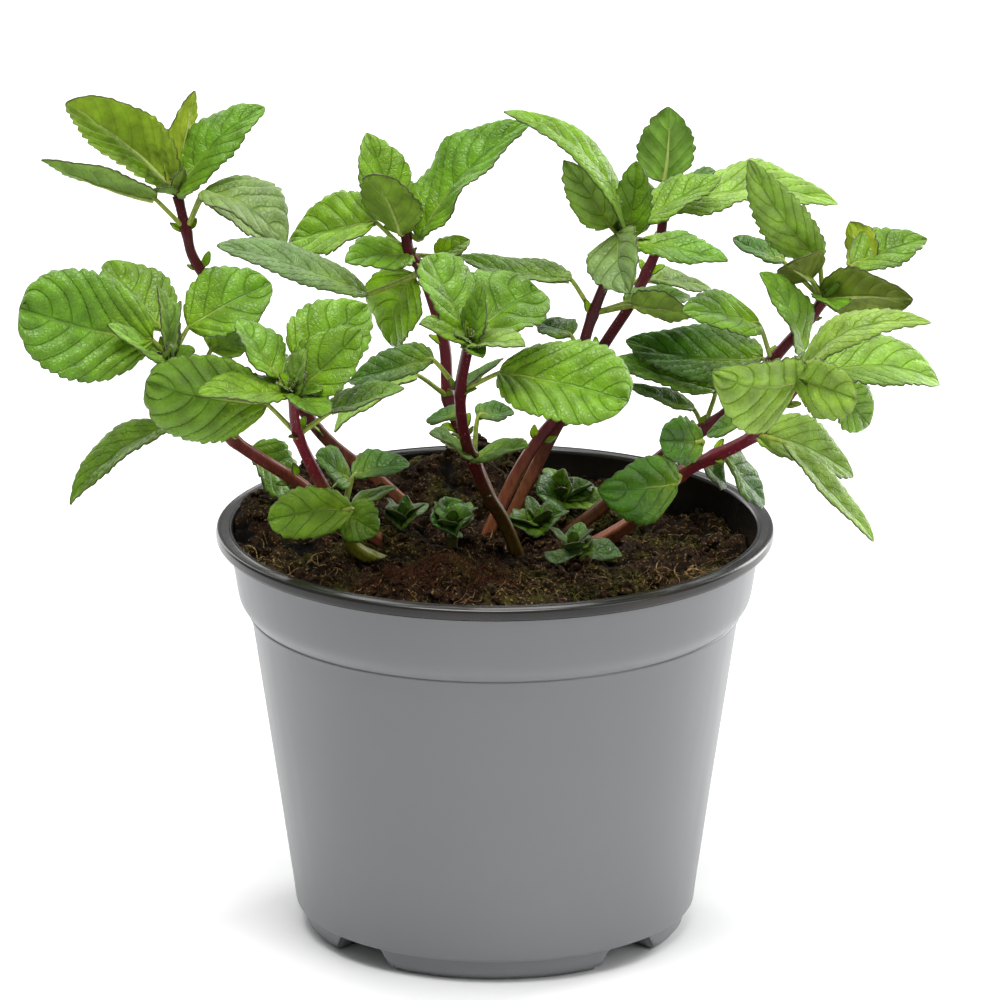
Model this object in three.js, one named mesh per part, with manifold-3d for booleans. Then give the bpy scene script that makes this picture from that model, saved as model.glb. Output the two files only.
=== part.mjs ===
// A potted mint plant: a two-tone nursery pot filled with peat, nine leafy stems and five short shoots.
// Millimetres, +Z up. The pot's axis is the Z axis, its feet stand on z = 0 and the plant's front faces -Y.
import * as THREE from 'three'
import { mergeVertices } from 'three/addons/utils/BufferGeometryUtils.js'
import Module from 'manifold-3d'

const wasm = await Module()
wasm.setup()

// Driving dimensions of the pot
const POT_HEIGHT = 97.5
const RIM_RADIUS = 65.3
const RIM_DEPTH = 3
const WALL = 1
const COLLAR_RADIUS = 62.2
const COLLAR_LOW_RADIUS = 59.9
const COLLAR_BEND = 2.8
const COLLAR_BOTTOM = 77.4
const BODY_TOP_RADIUS = 57.2
const BODY_BEND = [50.1, 28]
const BODY_LOW_RADIUS = 47
const FOOT_RADIUS = 44.6
const FOOT_HEIGHT = 5.2
const CHANNEL_WIDTH = 16
const CHANNEL_START = 15
const CHANNEL_ANGLES = [45, 135, 225, 315]
const DRAIN_RADIUS = 3
const DRAIN_PLACE = 31
const POT_SEGMENTS = 36

// Driving dimensions of the plant
const CLEARANCE = 0.3
const STEM_SIZE_LOW = 3.2
const STEM_SIZE_HIGH = 2.3
const STALK_SIZE = 1.3
const LONG_STALK = 8
const BLADE_THICKNESS = 0.8
const BLADE_FOLD = 0.26
const TOOTH_DEPTH = 0.14
const ROOT_CURVE = 0.55
const TIP_CURVE = 0.75
const WIDE_BLADE = 13
const NARROW_BLADE = 8.5

// Soil level between the stems, and the heaps and hollows on it: place x, y, height and spread
const SOIL_LEVEL = 90.2
const HEAPS = [
  [-6, 50, 11, 12],
  [-42, 36, 11, 13],
  [-55, 8, 9, 14],
  [-30, -46, 4, 16],
  [6, -50, 5, 16],
  [-12, -38, 5, 9],
  [38, -38, 3, 14],
  [42, 26, -1.5, 14],
  [52, -4, -1, 10],
]

const radians = THREE.MathUtils.degToRad
const vector = (place) => new THREE.Vector3(...place)

// Solids

const toSolid = (source) => {
  const bare = source.clone()
  bare.deleteAttribute('normal')
  bare.deleteAttribute('uv')
  const merged = mergeVertices(bare, 1e-4)
  const mesh = new wasm.Mesh({
    numProp: 3,
    vertProperties: new Float32Array(merged.attributes.position.array),
    triVerts: new Uint32Array(merged.index.array),
  })
  return new wasm.Manifold(mesh)
}

const toGeometry = (solid) => {
  const mesh = solid.getMesh()
  const geometry = new THREE.BufferGeometry()
  geometry.setAttribute('position', new THREE.BufferAttribute(new Float32Array(mesh.vertProperties), 3))
  geometry.setIndex(new THREE.BufferAttribute(new Uint32Array(mesh.triVerts), 1))
  geometry.computeVertexNormals()
  return geometry
}

const joined = (solids) => wasm.Manifold.union(solids)

// Drops loose scraps, and fills a hollow that fusing has sealed
const largestBody = (solid) => {
  const larger = (best, next) => (next.volume() > best.volume() ? next : best)
  return solid.decompose().reduce(larger)
}

const boxAt = (size, place, turn = 0) => {
  const box = new THREE.BoxGeometry(...size)
  box.translate(...place)
  box.rotateZ(turn)
  return toSolid(box)
}

const latheAboutZ = (profile, segments = POT_SEGMENTS) => {
  const points = profile.map(([radius, height]) => new THREE.Vector2(radius, height))
  return new THREE.LatheGeometry(points, segments).rotateX(Math.PI / 2)
}

// The pot: one thin wall drawn as a closed profile, with a flat rim whose edge turns down

const RIM_LOW = POT_HEIGHT - RIM_DEPTH

const OUTSIDE = [
  [0, 0],
  [FOOT_RADIUS - 1, 0],
  [FOOT_RADIUS, 1],
  [FOOT_RADIUS, FOOT_HEIGHT],
  [BODY_LOW_RADIUS, FOOT_HEIGHT + 0.4],
  [BODY_LOW_RADIUS + 0.8, 12],
  BODY_BEND,
  [BODY_TOP_RADIUS, COLLAR_BOTTOM],
  [COLLAR_LOW_RADIUS, COLLAR_BOTTOM + COLLAR_BEND],
  [COLLAR_RADIUS, RIM_LOW],
]

const RIM = [
  [RIM_RADIUS - 0.4, RIM_LOW],
  [RIM_RADIUS, RIM_LOW + 0.6],
  [RIM_RADIUS - 0.1, POT_HEIGHT - 0.6],
  [RIM_RADIUS - 0.6, POT_HEIGHT - 0.2],
  [COLLAR_RADIUS - WALL + 0.5, POT_HEIGHT],
  [COLLAR_RADIUS - WALL, POT_HEIGHT - 0.5],
]

// The inside keeps one wall away from the outside, and is also the shape that the soil fills
const insideProfile = (gap) => [
  [COLLAR_RADIUS - WALL - gap, RIM_LOW],
  [COLLAR_LOW_RADIUS - WALL - gap, COLLAR_BOTTOM + COLLAR_BEND],
  [BODY_TOP_RADIUS - WALL - gap, COLLAR_BOTTOM],
  [BODY_BEND[0] - WALL - gap, BODY_BEND[1]],
  [BODY_LOW_RADIUS + 0.7 - WALL - gap, 12],
  [BODY_LOW_RADIUS - WALL - gap, FOOT_HEIGHT + 1.4],
  [FOOT_RADIUS - WALL - gap, FOOT_HEIGHT + 0.6],
  [FOOT_RADIUS - 1 - WALL - gap, WALL + gap],
  [0, WALL + gap],
]

// Four drainage channels cross the foot between its four lobes; grow widens and lifts one
const channels = (grow) => {
  const length = RIM_RADIUS - CHANNEL_START
  const height = FOOT_HEIGHT + grow
  const size = [length + grow, CHANNEL_WIDTH + 2 * grow, height + 1]
  const place = [CHANNEL_START - grow + size[0] / 2, 0, height - size[2] / 2]
  return joined(CHANNEL_ANGLES.map((angle) => boxAt(size, place, radians(angle))))
}

const drainHoles = () => {
  const holes = CHANNEL_ANGLES.map((angle) => {
    const hole = new THREE.CylinderGeometry(DRAIN_RADIUS, DRAIN_RADIUS, 6, 10)
    hole.rotateX(Math.PI / 2)
    hole.translate(DRAIN_PLACE, 0, FOOT_HEIGHT)
    hole.rotateZ(radians(angle))
    return toSolid(hole)
  })
  return joined(holes)
}

const potSolid = () => {
  const wall = toSolid(latheAboutZ([...OUTSIDE, ...RIM, ...insideProfile(0)]))
  const whole = toSolid(latheAboutZ([...OUTSIDE, [0, RIM_LOW]]))
  const covers = whole.intersect(channels(WALL))
  return wall.add(covers).subtract(channels(0)).subtract(drainHoles())
}

// The soil: the pot's inside with a lumpy top

const soilHeight = (x, y) => {
  const raised = HEAPS.reduce((sum, [hx, hy, height, spread]) => {
    const away = ((x - hx) ** 2 + (y - hy) ** 2) / (2 * spread ** 2)
    return sum + height * Math.exp(-away)
  }, 0)
  const crumbs = 0.7 * Math.sin(x * 0.45 + 1) * Math.cos(y * 0.4) + 0.4 * Math.sin(x * 0.9 - y * 0.7)
  return SOIL_LEVEL + raised + crumbs
}

// Inside the collar the wall leans out, so a low soil edge is narrower than a high one
const insideRadius = (height) => {
  const [[wide, top], [narrow, low]] = insideProfile(CLEARANCE)
  return THREE.MathUtils.mapLinear(Math.min(height, top), low, top, narrow, wide)
}

const SOIL_TOP_RINGS = 6
const SOIL_SEGMENTS = 23
const SOIL_TOP_MARK = 200

const soilSolid = (holes) => {
  const [edgeRadius] = insideProfile(CLEARANCE)[0]
  const top = []
  for (let i = 0; i <= SOIL_TOP_RINGS; i += 1) top.push([(edgeRadius * i) / SOIL_TOP_RINGS, SOIL_TOP_MARK])
  const profile = [...top, ...insideProfile(CLEARANCE).slice(1)].reverse()
  const geometry = latheAboutZ(profile, SOIL_SEGMENTS)
  const position = geometry.attributes.position
  for (let i = 0; i < position.count; i += 1) {
    if (position.getZ(i) < SOIL_TOP_MARK - 1) continue
    const x = position.getX(i)
    const y = position.getY(i)
    const height = soilHeight(x, y)
    const within = Math.min(1, insideRadius(height) / Math.max(Math.hypot(x, y), 1))
    position.setXYZ(i, x * within, y * within, height)
  }
  return toSolid(geometry).subtract(channels(WALL + CLEARANCE)).subtract(holes)
}

// A square stem or leaf stalk: a long box bent along a curve and tapered

const alongCurve = (curve, steps, sizeLow, sizeHigh) => {
  const frames = curve.computeFrenetFrames(steps, false)
  const box = new THREE.BoxGeometry(1, 1, 1, 1, 1, steps)
  const position = box.attributes.position
  for (let i = 0; i < position.count; i += 1) {
    const share = position.getZ(i) + 0.5
    const ring = Math.round(share * steps)
    const size = THREE.MathUtils.lerp(sizeLow, sizeHigh, share)
    const place = curve.getPointAt(ring / steps)
    place.addScaledVector(frames.normals[ring], position.getX(i) * size)
    place.addScaledVector(frames.binormals[ring], position.getY(i) * size)
    position.setXYZ(i, place.x, place.y, place.z)
  }
  return toSolid(box)
}

// A leaf blade: a toothed, folded and arched sheet, split into triangles alike on both faces

// Zero roll turns the upper side to the sky and a little to the front, where the light comes from
const TOWARDS_LIGHT = new THREE.Vector3(0, -0.45, 0.9)

// A blade is broad near its root, widest before its middle, and draws in to its tip
const outline = (share) => share ** ROOT_CURVE * (1 - share) ** TIP_CURVE
const WIDEST = outline(ROOT_CURVE / (ROOT_CURVE + TIP_CURVE))
const halfWidth = (share, width) => Math.max((width / 2) * (outline(share) / WIDEST), 0.5)

const bladeSolid = (base, reach, width, roll, arch, wave) => {
  const steps = width > WIDE_BLADE ? 6 : 4
  const along = reach.clone().normalize()
  const up = TOWARDS_LIGHT.clone().addScaledVector(along, -TOWARDS_LIGHT.dot(along)).normalize()
  up.applyAxisAngle(along, radians(roll))
  const side = new THREE.Vector3().crossVectors(along, up)
  const middle = []
  for (let i = 0; i <= steps; i += 1) {
    const share = i / steps
    const tooth = i % 2 ? 1 : 1 - TOOTH_DEPTH
    const half = halfWidth(share, width) * tooth
    const rise = arch * reach.length() * 4 * share * (1 - share)
    const rib = base.clone().addScaledVector(reach, share).addScaledVector(up, rise)
    const row = (width > NARROW_BLADE ? [-1, 0, 1] : [-1, 1]).map((hand) => {
      const ripple = wave * Math.abs(hand) * Math.sin(5 * Math.PI * share + 0.8 * hand) * (2 * half) / width
      const lift = BLADE_FOLD * half * Math.abs(hand) + ripple
      return rib.clone().addScaledVector(side, half * hand).addScaledVector(up, lift)
    })
    middle.push(row)
  }
  return sheetSolid(middle, BLADE_THICKNESS)
}

const sheetSolid = (rows, thickness) => {
  const last = rows.length - 1
  const wide = rows[0].length - 1
  const at = (i, j) => rows[Math.min(Math.max(i, 0), last)][Math.min(Math.max(j, 0), wide)]
  const places = []
  for (const sign of [0.5, -0.5]) {
    for (let i = 0; i <= last; i += 1) {
      for (let j = 0; j <= wide; j += 1) {
        const down = new THREE.Vector3().subVectors(at(i + 1, j), at(i - 1, j))
        const across = new THREE.Vector3().subVectors(at(i, j + 1), at(i, j - 1))
        const out = new THREE.Vector3().crossVectors(across, down).normalize()
        places.push(at(i, j).clone().addScaledVector(out, sign * thickness))
      }
    }
  }
  const top = (i, j) => i * (wide + 1) + j
  const under = (i, j) => (last + 1) * (wide + 1) + top(i, j)
  const faces = []
  const square = (a, b, c, d) => faces.push(a, b, c, a, c, d)
  for (let i = 0; i < last; i += 1) {
    for (let j = 0; j < wide; j += 1) {
      square(top(i, j), top(i, j + 1), top(i + 1, j + 1), top(i + 1, j))
      faces.push(under(i, j), under(i + 1, j + 1), under(i, j + 1))
      faces.push(under(i, j), under(i + 1, j), under(i + 1, j + 1))
    }
    square(top(i, 0), top(i + 1, 0), under(i + 1, 0), under(i, 0))
    square(top(i + 1, wide), top(i, wide), under(i, wide), under(i + 1, wide))
  }
  for (let j = 0; j < wide; j += 1) {
    square(top(0, j + 1), top(0, j), under(0, j), under(0, j + 1))
    square(top(last, j), top(last, j + 1), under(last, j + 1), under(last, j))
  }
  const geometry = new THREE.BufferGeometry()
  geometry.setAttribute('position', new THREE.Float32BufferAttribute(places.flatMap((p) => p.toArray()), 3))
  geometry.setIndex(faces)
  return toSolid(geometry)
}

// The plant. A stem lists the places that it passes from the soil up. Its leaves then give the number of
// the place they grow from, the stalk's reach (none if the leaf sits on the stem), the blade's reach, the
// blade's width, its roll about its midrib in degrees, how far it arches and how far its margin waves.
const PLANT = {
  leafy_stem_a: {
    places: [[-15, 29, 86], [-27, 31, 98], [-41, 34, 109], [-55, 36, 129], [-70, 41, 148], [-73, 42, 157],
      [-75, 44, 165]],
    leaves: [
      [6, [-1, -1, 2], [-24, -7, 24], 18, 90, 0.08, 0],
      [6, null, [20, 2, 22], 16, -5, 0.08, 0.5],
      [6, null, [3, 8, 24], 10, -125, 0, 0],
      [5, [-7, -2, 8], [-26, -6, 13], 14, 60, -0.05, 0],
      [5, [4, -3, 10], [20, -11, -9], 20, -15, 0.12, 0],
      [5, [4, 1, 8], [14, 6, -12], 11, 0, 0, 0],
    ],
  },
  leafy_stem_b: {
    places: [[-19, 5, 86], [-37, 3, 99], [-47, 1, 108], [-61, -3, 119], [-70, -7, 132], [-75, -10, 140]],
    leaves: [
      [5, [-4, -3, 6], [-30, -4, 9], 26, -35, 0, 0],
      [5, [-2, 8, 5], [-13, 12, 14], 18, 10, 0, 0],
      [5, [4, 4, 7], [19, 6, 9], 18, 15, 0.04, 0.5],
      [5, null, [-14, -10, 12], 7, -10, 0, 0],
      [5, null, [6, -8, 5], 6, 25, 0, 0],
      [3, [-15, 4, 2], [-23, -4, -18], 13, 15, 0.08, 0],
      [3, [4, 10, -5], [9, 6, -12], 13, 25, 0, 0],
      [4, [4, 6, 8], [9, 6, 4], 14, 0, 0, 0],
      [5, null, [-2, 2, 18], 7, 45, 0, 0],
      [5, null, [2, 4, 14], 7, -50, 0, 0],
    ],
  },
  leafy_stem_c: {
    places: [[-22, -2, 86], [-33, -10, 95], [-35, -16, 105], [-39, -22, 112], [-45, -36, 130],
      [-46, -43, 142]],
    leaves: [
      [5, [1, 5, 6], [16, 10, 11], 19, 15, 0, 0.5],
      [5, [-3, 1, 3], [-9, 6, 13], 12, 20, 0, 0],
      [5, null, [-21, -13, 5], 12, 5, 0, 0],
      [5, null, [3, -4, 12], 8, 0, 0, 0],
      [5, null, [16, 2, 15], 15, 20, 0, 0],
      [5, null, [7, -13, -1], 10, -20, 0, 0],
      [4, [-7, -2, 8], [-27, -9, 8], 22, -75, 0.04, 0],
      [4, [7, 1, 5], [17, 2, 6], 12, -20, 0, 0],
      [2, [2, -6, 3], [-19, -8, 0], 12, -50, 0, 0],
      [2, [0, 0, 0], [8, -2, -4], 11, 35, 0, 0],
      [2, [1, 2, 7], [-7, -4, 8], 12, 0, 0, 0],
      [2, [2, 6, 7], [13, 4, 2], 13, -15, 0, 0],
      [2, [2, 4, 1], [10, 4, 3], 6, -20, 0, 0],
    ],
  },
  leafy_stem_d: {
    places: [[1, 33, 87], [-4, 24, 103], [-8, 18, 115], [-11, 18, 123], [-12, 20, 136], [-17, 23, 152],
      [-20, 24, 156], [-21, 25, 162]],
    leaves: [
      [7, [-3, 5, 2], [-6, 8, 18], 13, 5, 0, 0],
      [7, [-1, -5, 0], [-6, -10, 18], 14, 65, 0, 0],
      [7, [3, 1, -3], [26, 2, 28], 21, -15, 0.08, 1],
      [6, [-8, 7, 6], [-21, 10, -7], 19, -10, 0, 0.5],
      [6, null, [-15, -11, 2], 12, -5, 0, 0],
      [6, [6, 3, -1], [8, 4, 3], 7, 0, 0, 0],
      [5, [-2, 3, -1], [-6, 4, -19], 18, 0, 0.04, 0],
      [5, [-13, -5, -4], [-34, -6, 15], 15, 10, 0.02, 0],
      [3, [-7, -9, 8], [-20, -6, -11], 13, 25, 0.05, 0],
    ],
  },
  leafy_stem_e: {
    places: [[6, 4, 86], [2, 0, 98], [-2, -6, 107], [-5, -14, 117], [-7, -20, 125], [-8, -28, 138],
      [-6, -36, 152]],
    leaves: [
      [6, [0, 2, 0], [-9, 8, 18], 18, 25, 0.04, 0],
      [6, [0, 2, 0], [16, 10, 9], 22, 0, 0.04, 0.5],
      [6, null, [3, -4, 15], 8, -10, 0, 0],
      [6, null, [-11, -10, 8], 9, -5, 0, 0],
      [6, null, [13, -10, 3], 10, -10, 0, 0],
      [5, [9, -5, 6], [29, -14, -2], 24, 10, 0, 0],
      [5, [-6, 5, 6], [-20, 8, -7], 13, 0, 0, 0],
      [5, null, [10, 11, 5], 8, -40, 0, 0],
      [3, [-3, 3, 10], [-7, 6, -2], 10, 10, 0, 0],
      [3, [1, 5, 9], [8, 4, 1], 10, -15, 0, 0],
      [3, null, [-10, -9, 10], 10, 5, 0, 0],
      [3, null, [13, -7, 6], 11, -15, 0, 0],
    ],
  },
  leafy_stem_f: {
    places: [[-3, 16, 86], [4, 18, 102], [10, 19, 112], [16, 20, 120], [20, 22, 132], [23, 23, 142],
      [28, 23, 155], [30, 23, 160]],
    leaves: [
      [7, null, [-27, -3, 33], 17, 25, 0.16, 0],
      [7, [-3, -3, 4], [-11, -4, 17], 11, -60, 0.04, 0],
      [7, null, [3, -3, 20], 9, 20, 0, 0],
      [7, [-1, -5, 3], [2, -16, -10], 15, 40, 0.04, 0],
      [7, [3, -7, 1], [21, -8, -1], 11, -5, 0, 0],
      [7, [3, 3, 3], [20, 6, 10], 13, -10, 0, 0],
      [5, [-5, 4, 7], [-27, 8, 4], 13, 20, -0.05, 0],
      [5, [8, 6, 1], [15, 6, 0], 12, -15, 0, 0],
      [5, [9, -4, 3], [14, -8, 1], 12, -75, 0, 0],
      [3, null, [-9, 8, 3], 10, 25, 0, 0],
      [4, [-2, 6, 3], [-8, 6, 2], 10, 10, 0, 0],
    ],
  },
  leafy_stem_g: {
    places: [[2, 26, 86], [8, 29, 99], [15, 33, 112], [25, 40, 128], [32, 44, 138], [36, 48, 145],
      [39, 50, 152], [40, 52, 159]],
    leaves: [
      [7, [0, 0, 7], [1, 2, 18], 14, -165, 0, 0],
      [7, null, [42, 4, 2], 17, -5, 0.08, 0.8],
      [5, [0, 4, -3], [16, 6, -4], 14, -20, 0, 0],
      [7, null, [12, -6, 12], 12, -5, 0, 0],
      [5, [-3, 1, -3], [-6, -1, 4], 9, -5, 0, 0],
    ],
  },
  leafy_stem_h: {
    places: [[15, 20, 86], [26, 20, 96], [39, 19, 108], [49, 19, 115], [56, 20, 120], [65, 21, 131],
      [74, 23, 141], [77, 24, 145]],
    leaves: [
      [7, [-1, 0, 10], [-17, -8, 26], 12, -70, 0.04, 0],
      [7, [-9, 4, 8], [-12, 4, 5], 9, 15, 0, 0],
      [7, null, [21, -12, 4], 16, -85, 0, 0],
      [7, [7, 8, 6], [18, 6, 5], 14, 0, 0, 0],
      [7, [10, 10, 5], [-3, 8, 9], 11, 125, 0, 0],
      [6, [-2, -6, -7], [-9, -4, 21], 14, 15, 0.08, 0],
      [7, null, [3, -14, 2], 9, -15, 0, 0],
      [7, [-3, -4, 6], [-6, -4, 5], 14, 75, 0, 0],
      [5, [-3, -5, 10], [-18, -10, 7], 14, -5, 0, 0],
      [5, [-2, 5, -1], [-32, 10, 2], 19, 0, -0.05, 0],
      [3, [3, 7, 7], [-24, 8, 6], 13, 10, 0, 0],
      [3, [-2, 5, 3], [-16, 4, 5], 10, 25, 0, 0],
    ],
  },
  leafy_stem_i: {
    places: [[19, 10, 86], [32, 0, 98], [43, -11, 113], [51, -16, 119], [60, -22, 126], [66, -24, 134],
      [70, -26, 140]],
    leaves: [
      [6, null, [29, -6, 17], 12, -5, 0.2, 0],
      [6, [5, 6, 0], [28, 6, -3], 16, 5, 0.12, 0],
      [6, [-1, -4, 1], [-19, -12, 5], 22, -90, 0.08, 0],
      [6, [-1, -6, 2], [13, -12, -1], 14, 70, 0.04, 0],
      [6, [10, 12, -6], [7, 6, -10], 12, 45, 0, 0],
      [4, null, [24, 10, -13], 14, 15, 0.04, 0],
      [4, [6, -6, 0], [22, -6, -21], 9, -20, 0, 0],
      [4, [-3, 8, 0], [-8, 6, -4], 8, -5, 0, 0],
      [2, [5, -8, 10], [-10, -8, 3], 11, -50, 0, 0],
      [2, [-1, -10, 1], [-18, -12, 2], 17, -75, 0.04, 0],
      [3, [-3, 5, -3], [6, 4, -7], 9, 10, 0, 0],
      [3, [2, 3, -1], [10, 8, -14], 14, 5, 0, 0],
    ],
  },
  sprout_1: {
    places: [[-10, 4, 86], [-10, 4, 95]],
    leaves: [
      [1, null, [-2, 4, 7], 12, 35, 0, 0],
      [1, null, [5, -4, 5], 10, 10, 0, 0],
      [1, null, [-5, -6, 3], 10, -10, 0, 0],
    ],
  },
  sprout_2: {
    places: [[-23, 12, 86], [-22, 12, 94]],
    leaves: [
      [1, null, [-4, -4, 4], 8, -15, 0, 0],
      [1, null, [4, -4, 3], 8, 15, 0, 0],
      [1, null, [0, 2, 5], 6, 45, 0, 0],
    ],
  },
  sprout_3: {
    places: [[16, 32, 85], [16, 32, 93]],
    leaves: [
      [1, null, [-6, -9, 5], 12, -25, 0, 0],
      [1, null, [7, 4, 4], 12, -20, 0, 0],
      [1, null, [-3, 9, 6], 11, 35, 0, 0],
      [1, null, [11, -4, 1], 11, -10, 0, 0],
      [1, null, [0, 2, 8], 9, -50, 0, 0],
    ],
  },
  sprout_4: {
    places: [[18, -4, 84], [18, -4, 92]],
    leaves: [
      [1, null, [-4, -8, -1], 9, 20, 0, 0],
      [1, null, [4, 4, 3], 9, -25, 0, 0],
      [1, null, [12, -4, 0], 10, -10, 0, 0],
    ],
  },
  sprout_5: {
    places: [[10, 14, 84], [10, 14, 92]],
    leaves: [
      [1, null, [-7, -6, 3], 10, -5, 0, 0],
      [1, null, [6, -2, 5], 10, 0, 0, 0],
      [1, null, [-1, 4, 4], 9, 45, 0, 0],
    ],
  },
}

// How deep a stem goes into the soil below its first place
const ROOTED = 8
const STEM_STEP = 12
// How far the root of a leaf without a stalk lies behind the middle of its stem
const SUNK = 0.5

const stemCurve = (places) => {
  const points = places.map(vector)
  const foot = points[0].clone().add(new THREE.Vector3(0, 0, -ROOTED))
  return new THREE.CatmullRomCurve3([foot, ...points], false, 'catmullrom', 0.5)
}

const stemSolid = (places, grow) => {
  const curve = stemCurve(places)
  const steps = Math.max(3, Math.round(curve.getLength() / STEM_STEP))
  return alongCurve(curve, steps, STEM_SIZE_LOW + 2 * grow, STEM_SIZE_HIGH + 2 * grow)
}

const leafSolids = (places, [number, stalk, reach, width, roll, arch, wave]) => {
  const node = vector(places[number])
  const way = vector(reach).normalize()
  const base = stalk ? node.clone().add(vector(stalk)) : node.clone().addScaledVector(way, -SUNK)
  const blade = bladeSolid(base, vector(reach), width, roll, arch, wave)
  if (!stalk) return [blade]
  const inBlade = base.clone().addScaledVector(way, 2.5)
  const curve = new THREE.CatmullRomCurve3([node, base, inBlade], false, 'catmullrom', 0.5)
  const steps = vector(stalk).length() > LONG_STALK ? 2 : 1
  return [blade, alongCurve(curve, steps, STALK_SIZE, STALK_SIZE)]
}

// A stem with its leaves as one body; slivers thinner than FINEST, where blades cross, are smoothed away
const FINEST = 0.08

const leafyStem = ({ places, leaves }) => {
  const grown = leaves.flatMap((leaf) => leafSolids(places, leaf))
  return largestBody(joined([stemSolid(places, 0), ...grown]).simplify(FINEST))
}

// Materials and the assembly

const paint = (color, roughness) => new THREE.MeshStandardMaterial({ color, roughness, metalness: 0 })

const group = new THREE.Group()

const addNode = (name, solid, material) => {
  const mesh = new THREE.Mesh(toGeometry(solid), material)
  mesh.name = name
  group.add(mesh)
}

const stemHoles = joined(Object.values(PLANT).map(({ places }) => stemSolid(places, CLEARANCE)))

addNode('pot', potSolid(), paint('#7f8183', 0.42))
addNode('soil', soilSolid(stemHoles), paint('#33261a', 0.95))
for (const [name, stem] of Object.entries(PLANT)) {
  addNode(name, leafyStem(stem), paint('#5c9130', 0.55))
}

export default group
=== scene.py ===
# %% [markdown]
# A potted mint plant, dressed in Blender around its CAD frame.
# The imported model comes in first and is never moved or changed. It says where the pot, the peat and
# every leafy stem are, and each piece made below takes the place of one of its nodes.

# %% The frame
import math
import random

import bmesh
import bpy
from mathutils import Matrix, Vector, noise


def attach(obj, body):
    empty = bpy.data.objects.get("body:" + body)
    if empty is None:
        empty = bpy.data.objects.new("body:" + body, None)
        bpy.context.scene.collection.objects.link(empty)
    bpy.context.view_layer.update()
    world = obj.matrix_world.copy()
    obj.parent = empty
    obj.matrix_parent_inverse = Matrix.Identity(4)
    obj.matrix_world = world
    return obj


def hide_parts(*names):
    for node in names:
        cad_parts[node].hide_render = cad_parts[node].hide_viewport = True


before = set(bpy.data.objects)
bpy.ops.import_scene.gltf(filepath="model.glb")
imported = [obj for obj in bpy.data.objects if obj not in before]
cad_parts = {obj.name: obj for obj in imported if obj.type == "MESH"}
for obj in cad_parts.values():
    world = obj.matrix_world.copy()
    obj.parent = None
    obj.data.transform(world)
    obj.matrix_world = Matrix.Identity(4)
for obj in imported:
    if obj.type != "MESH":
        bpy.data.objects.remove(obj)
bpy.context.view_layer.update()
MM = 0.001

# %% [markdown]
# The camera stands where the photographer stood. A long lens far away keeps the pot's sides nearly
# parallel, and the tilt is the one that makes the pot's round rim as flat an ellipse as in the photo.
# The aim is a point on the pot's axis, moved a little sideways because the pot isn't quite centred.

# %% The camera
PHOTO_PIXELS = 1000
FOCAL_PIXELS = 8562
SENSOR_WIDTH = 36
CAMERA_DISTANCE = 2.0
CAMERA_TILT = math.radians(17.29)
AIM = Vector((1.15 * MM, 0, 103.3 * MM))

scene = bpy.context.scene
camera_data = bpy.data.cameras.new("photo_camera")
camera_data.sensor_width = SENSOR_WIDTH
camera_data.lens = SENSOR_WIDTH * FOCAL_PIXELS / PHOTO_PIXELS
camera_data.clip_start = 0.1
camera_data.clip_end = 50
camera = bpy.data.objects.new("photo_camera", camera_data)
scene.collection.objects.link(camera)
back = Vector((0, -math.cos(CAMERA_TILT), math.sin(CAMERA_TILT)))
camera.location = AIM + back * CAMERA_DISTANCE
camera.rotation_euler = (math.pi / 2 - CAMERA_TILT, 0, 0)
scene.camera = camera
print("lens in mm:", round(camera_data.lens, 1))

# %% [markdown]
# A few small helpers serve every material. One turns an sRGB hex value, as a colour picker shows it,
# into the linear light values that Cycles computes with. One adds a node and sets its inputs: each
# gets a value, an output of another node, or a node, which stands for its first output in use. A
# node tree then reads as a list of steps. Plain finishes waver between two close tones in spots.

# %% Helpers for materials
# A Mix node has inputs for every kind of value: set to colours, it mixes its inputs 6 and 7
COLOURS = {"data_type": "RGBA"}
COLOUR_A, COLOUR_B = 6, 7


def linear(code):
    """An sRGB hex value as linear red, green, blue and alpha."""
    parts = [int(code[i : i + 2], 16) / 255 for i in (1, 3, 5)]
    return [c / 12.92 if c <= 0.04045 else ((c + 0.055) / 1.055) ** 2.4 for c in parts] + [1.0]


def join(node, inputs):
    """Sets a node's inputs, given as pairs of a socket and a value, an output or another node."""
    for socket, value in inputs:
        if isinstance(value, bpy.types.Node):
            value = next(output for output in value.outputs if output.enabled)
        if isinstance(value, bpy.types.NodeSocket):
            node.id_data.links.new(value, node.inputs[socket])
        else:
            node.inputs[socket].default_value = value


def add(tree, kind, inputs=(), **settings):
    """One new shader node with its settings, its inputs set by join."""
    made = tree.nodes.new("ShaderNode" + kind)
    for name, value in settings.items():
        setattr(made, name, value)
    join(made, inputs)
    return made


def new_material(name, values):
    """A material with one Principled shader, its constant values set on the shader's own sockets."""
    material = bpy.data.materials.new(name)
    material.use_nodes = True
    shader = material.node_tree.nodes["Principled BSDF"]
    join(shader, values)
    print("material:", name)
    return material, material.node_tree, shader


def two_toned(name, values, spot_size, codes, detail=2.0):
    """A material that wavers between two close tones, in spots whose size is given in mm."""
    material, tree, shader = new_material(name, values)
    place = add(tree, "TexCoord").outputs["Object"]
    scale = 1 / (spot_size * MM)
    spots = add(tree, "TexNoise", [("Vector", place), ("Scale", scale), ("Detail", detail)])
    one, other = (linear(code) for code in codes)
    tint = add(tree, "Mix", [("Factor", spots), (COLOUR_A, one), (COLOUR_B, other)], **COLOURS)
    join(shader, [("Base Color", tint)])
    return material


# %% [markdown]
# The studio is a plain one: a white floor that runs out of the picture, a faint even surround and five
# soft boxes. A real product photo of a plant is lit like this. The largest soft box is overhead, so
# that each leaf's upper side shines and the floor burns out to white. A panel behind each side draws a
# bright line down that edge of the glossy pot, and the last box lights the floor behind the plant.

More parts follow.
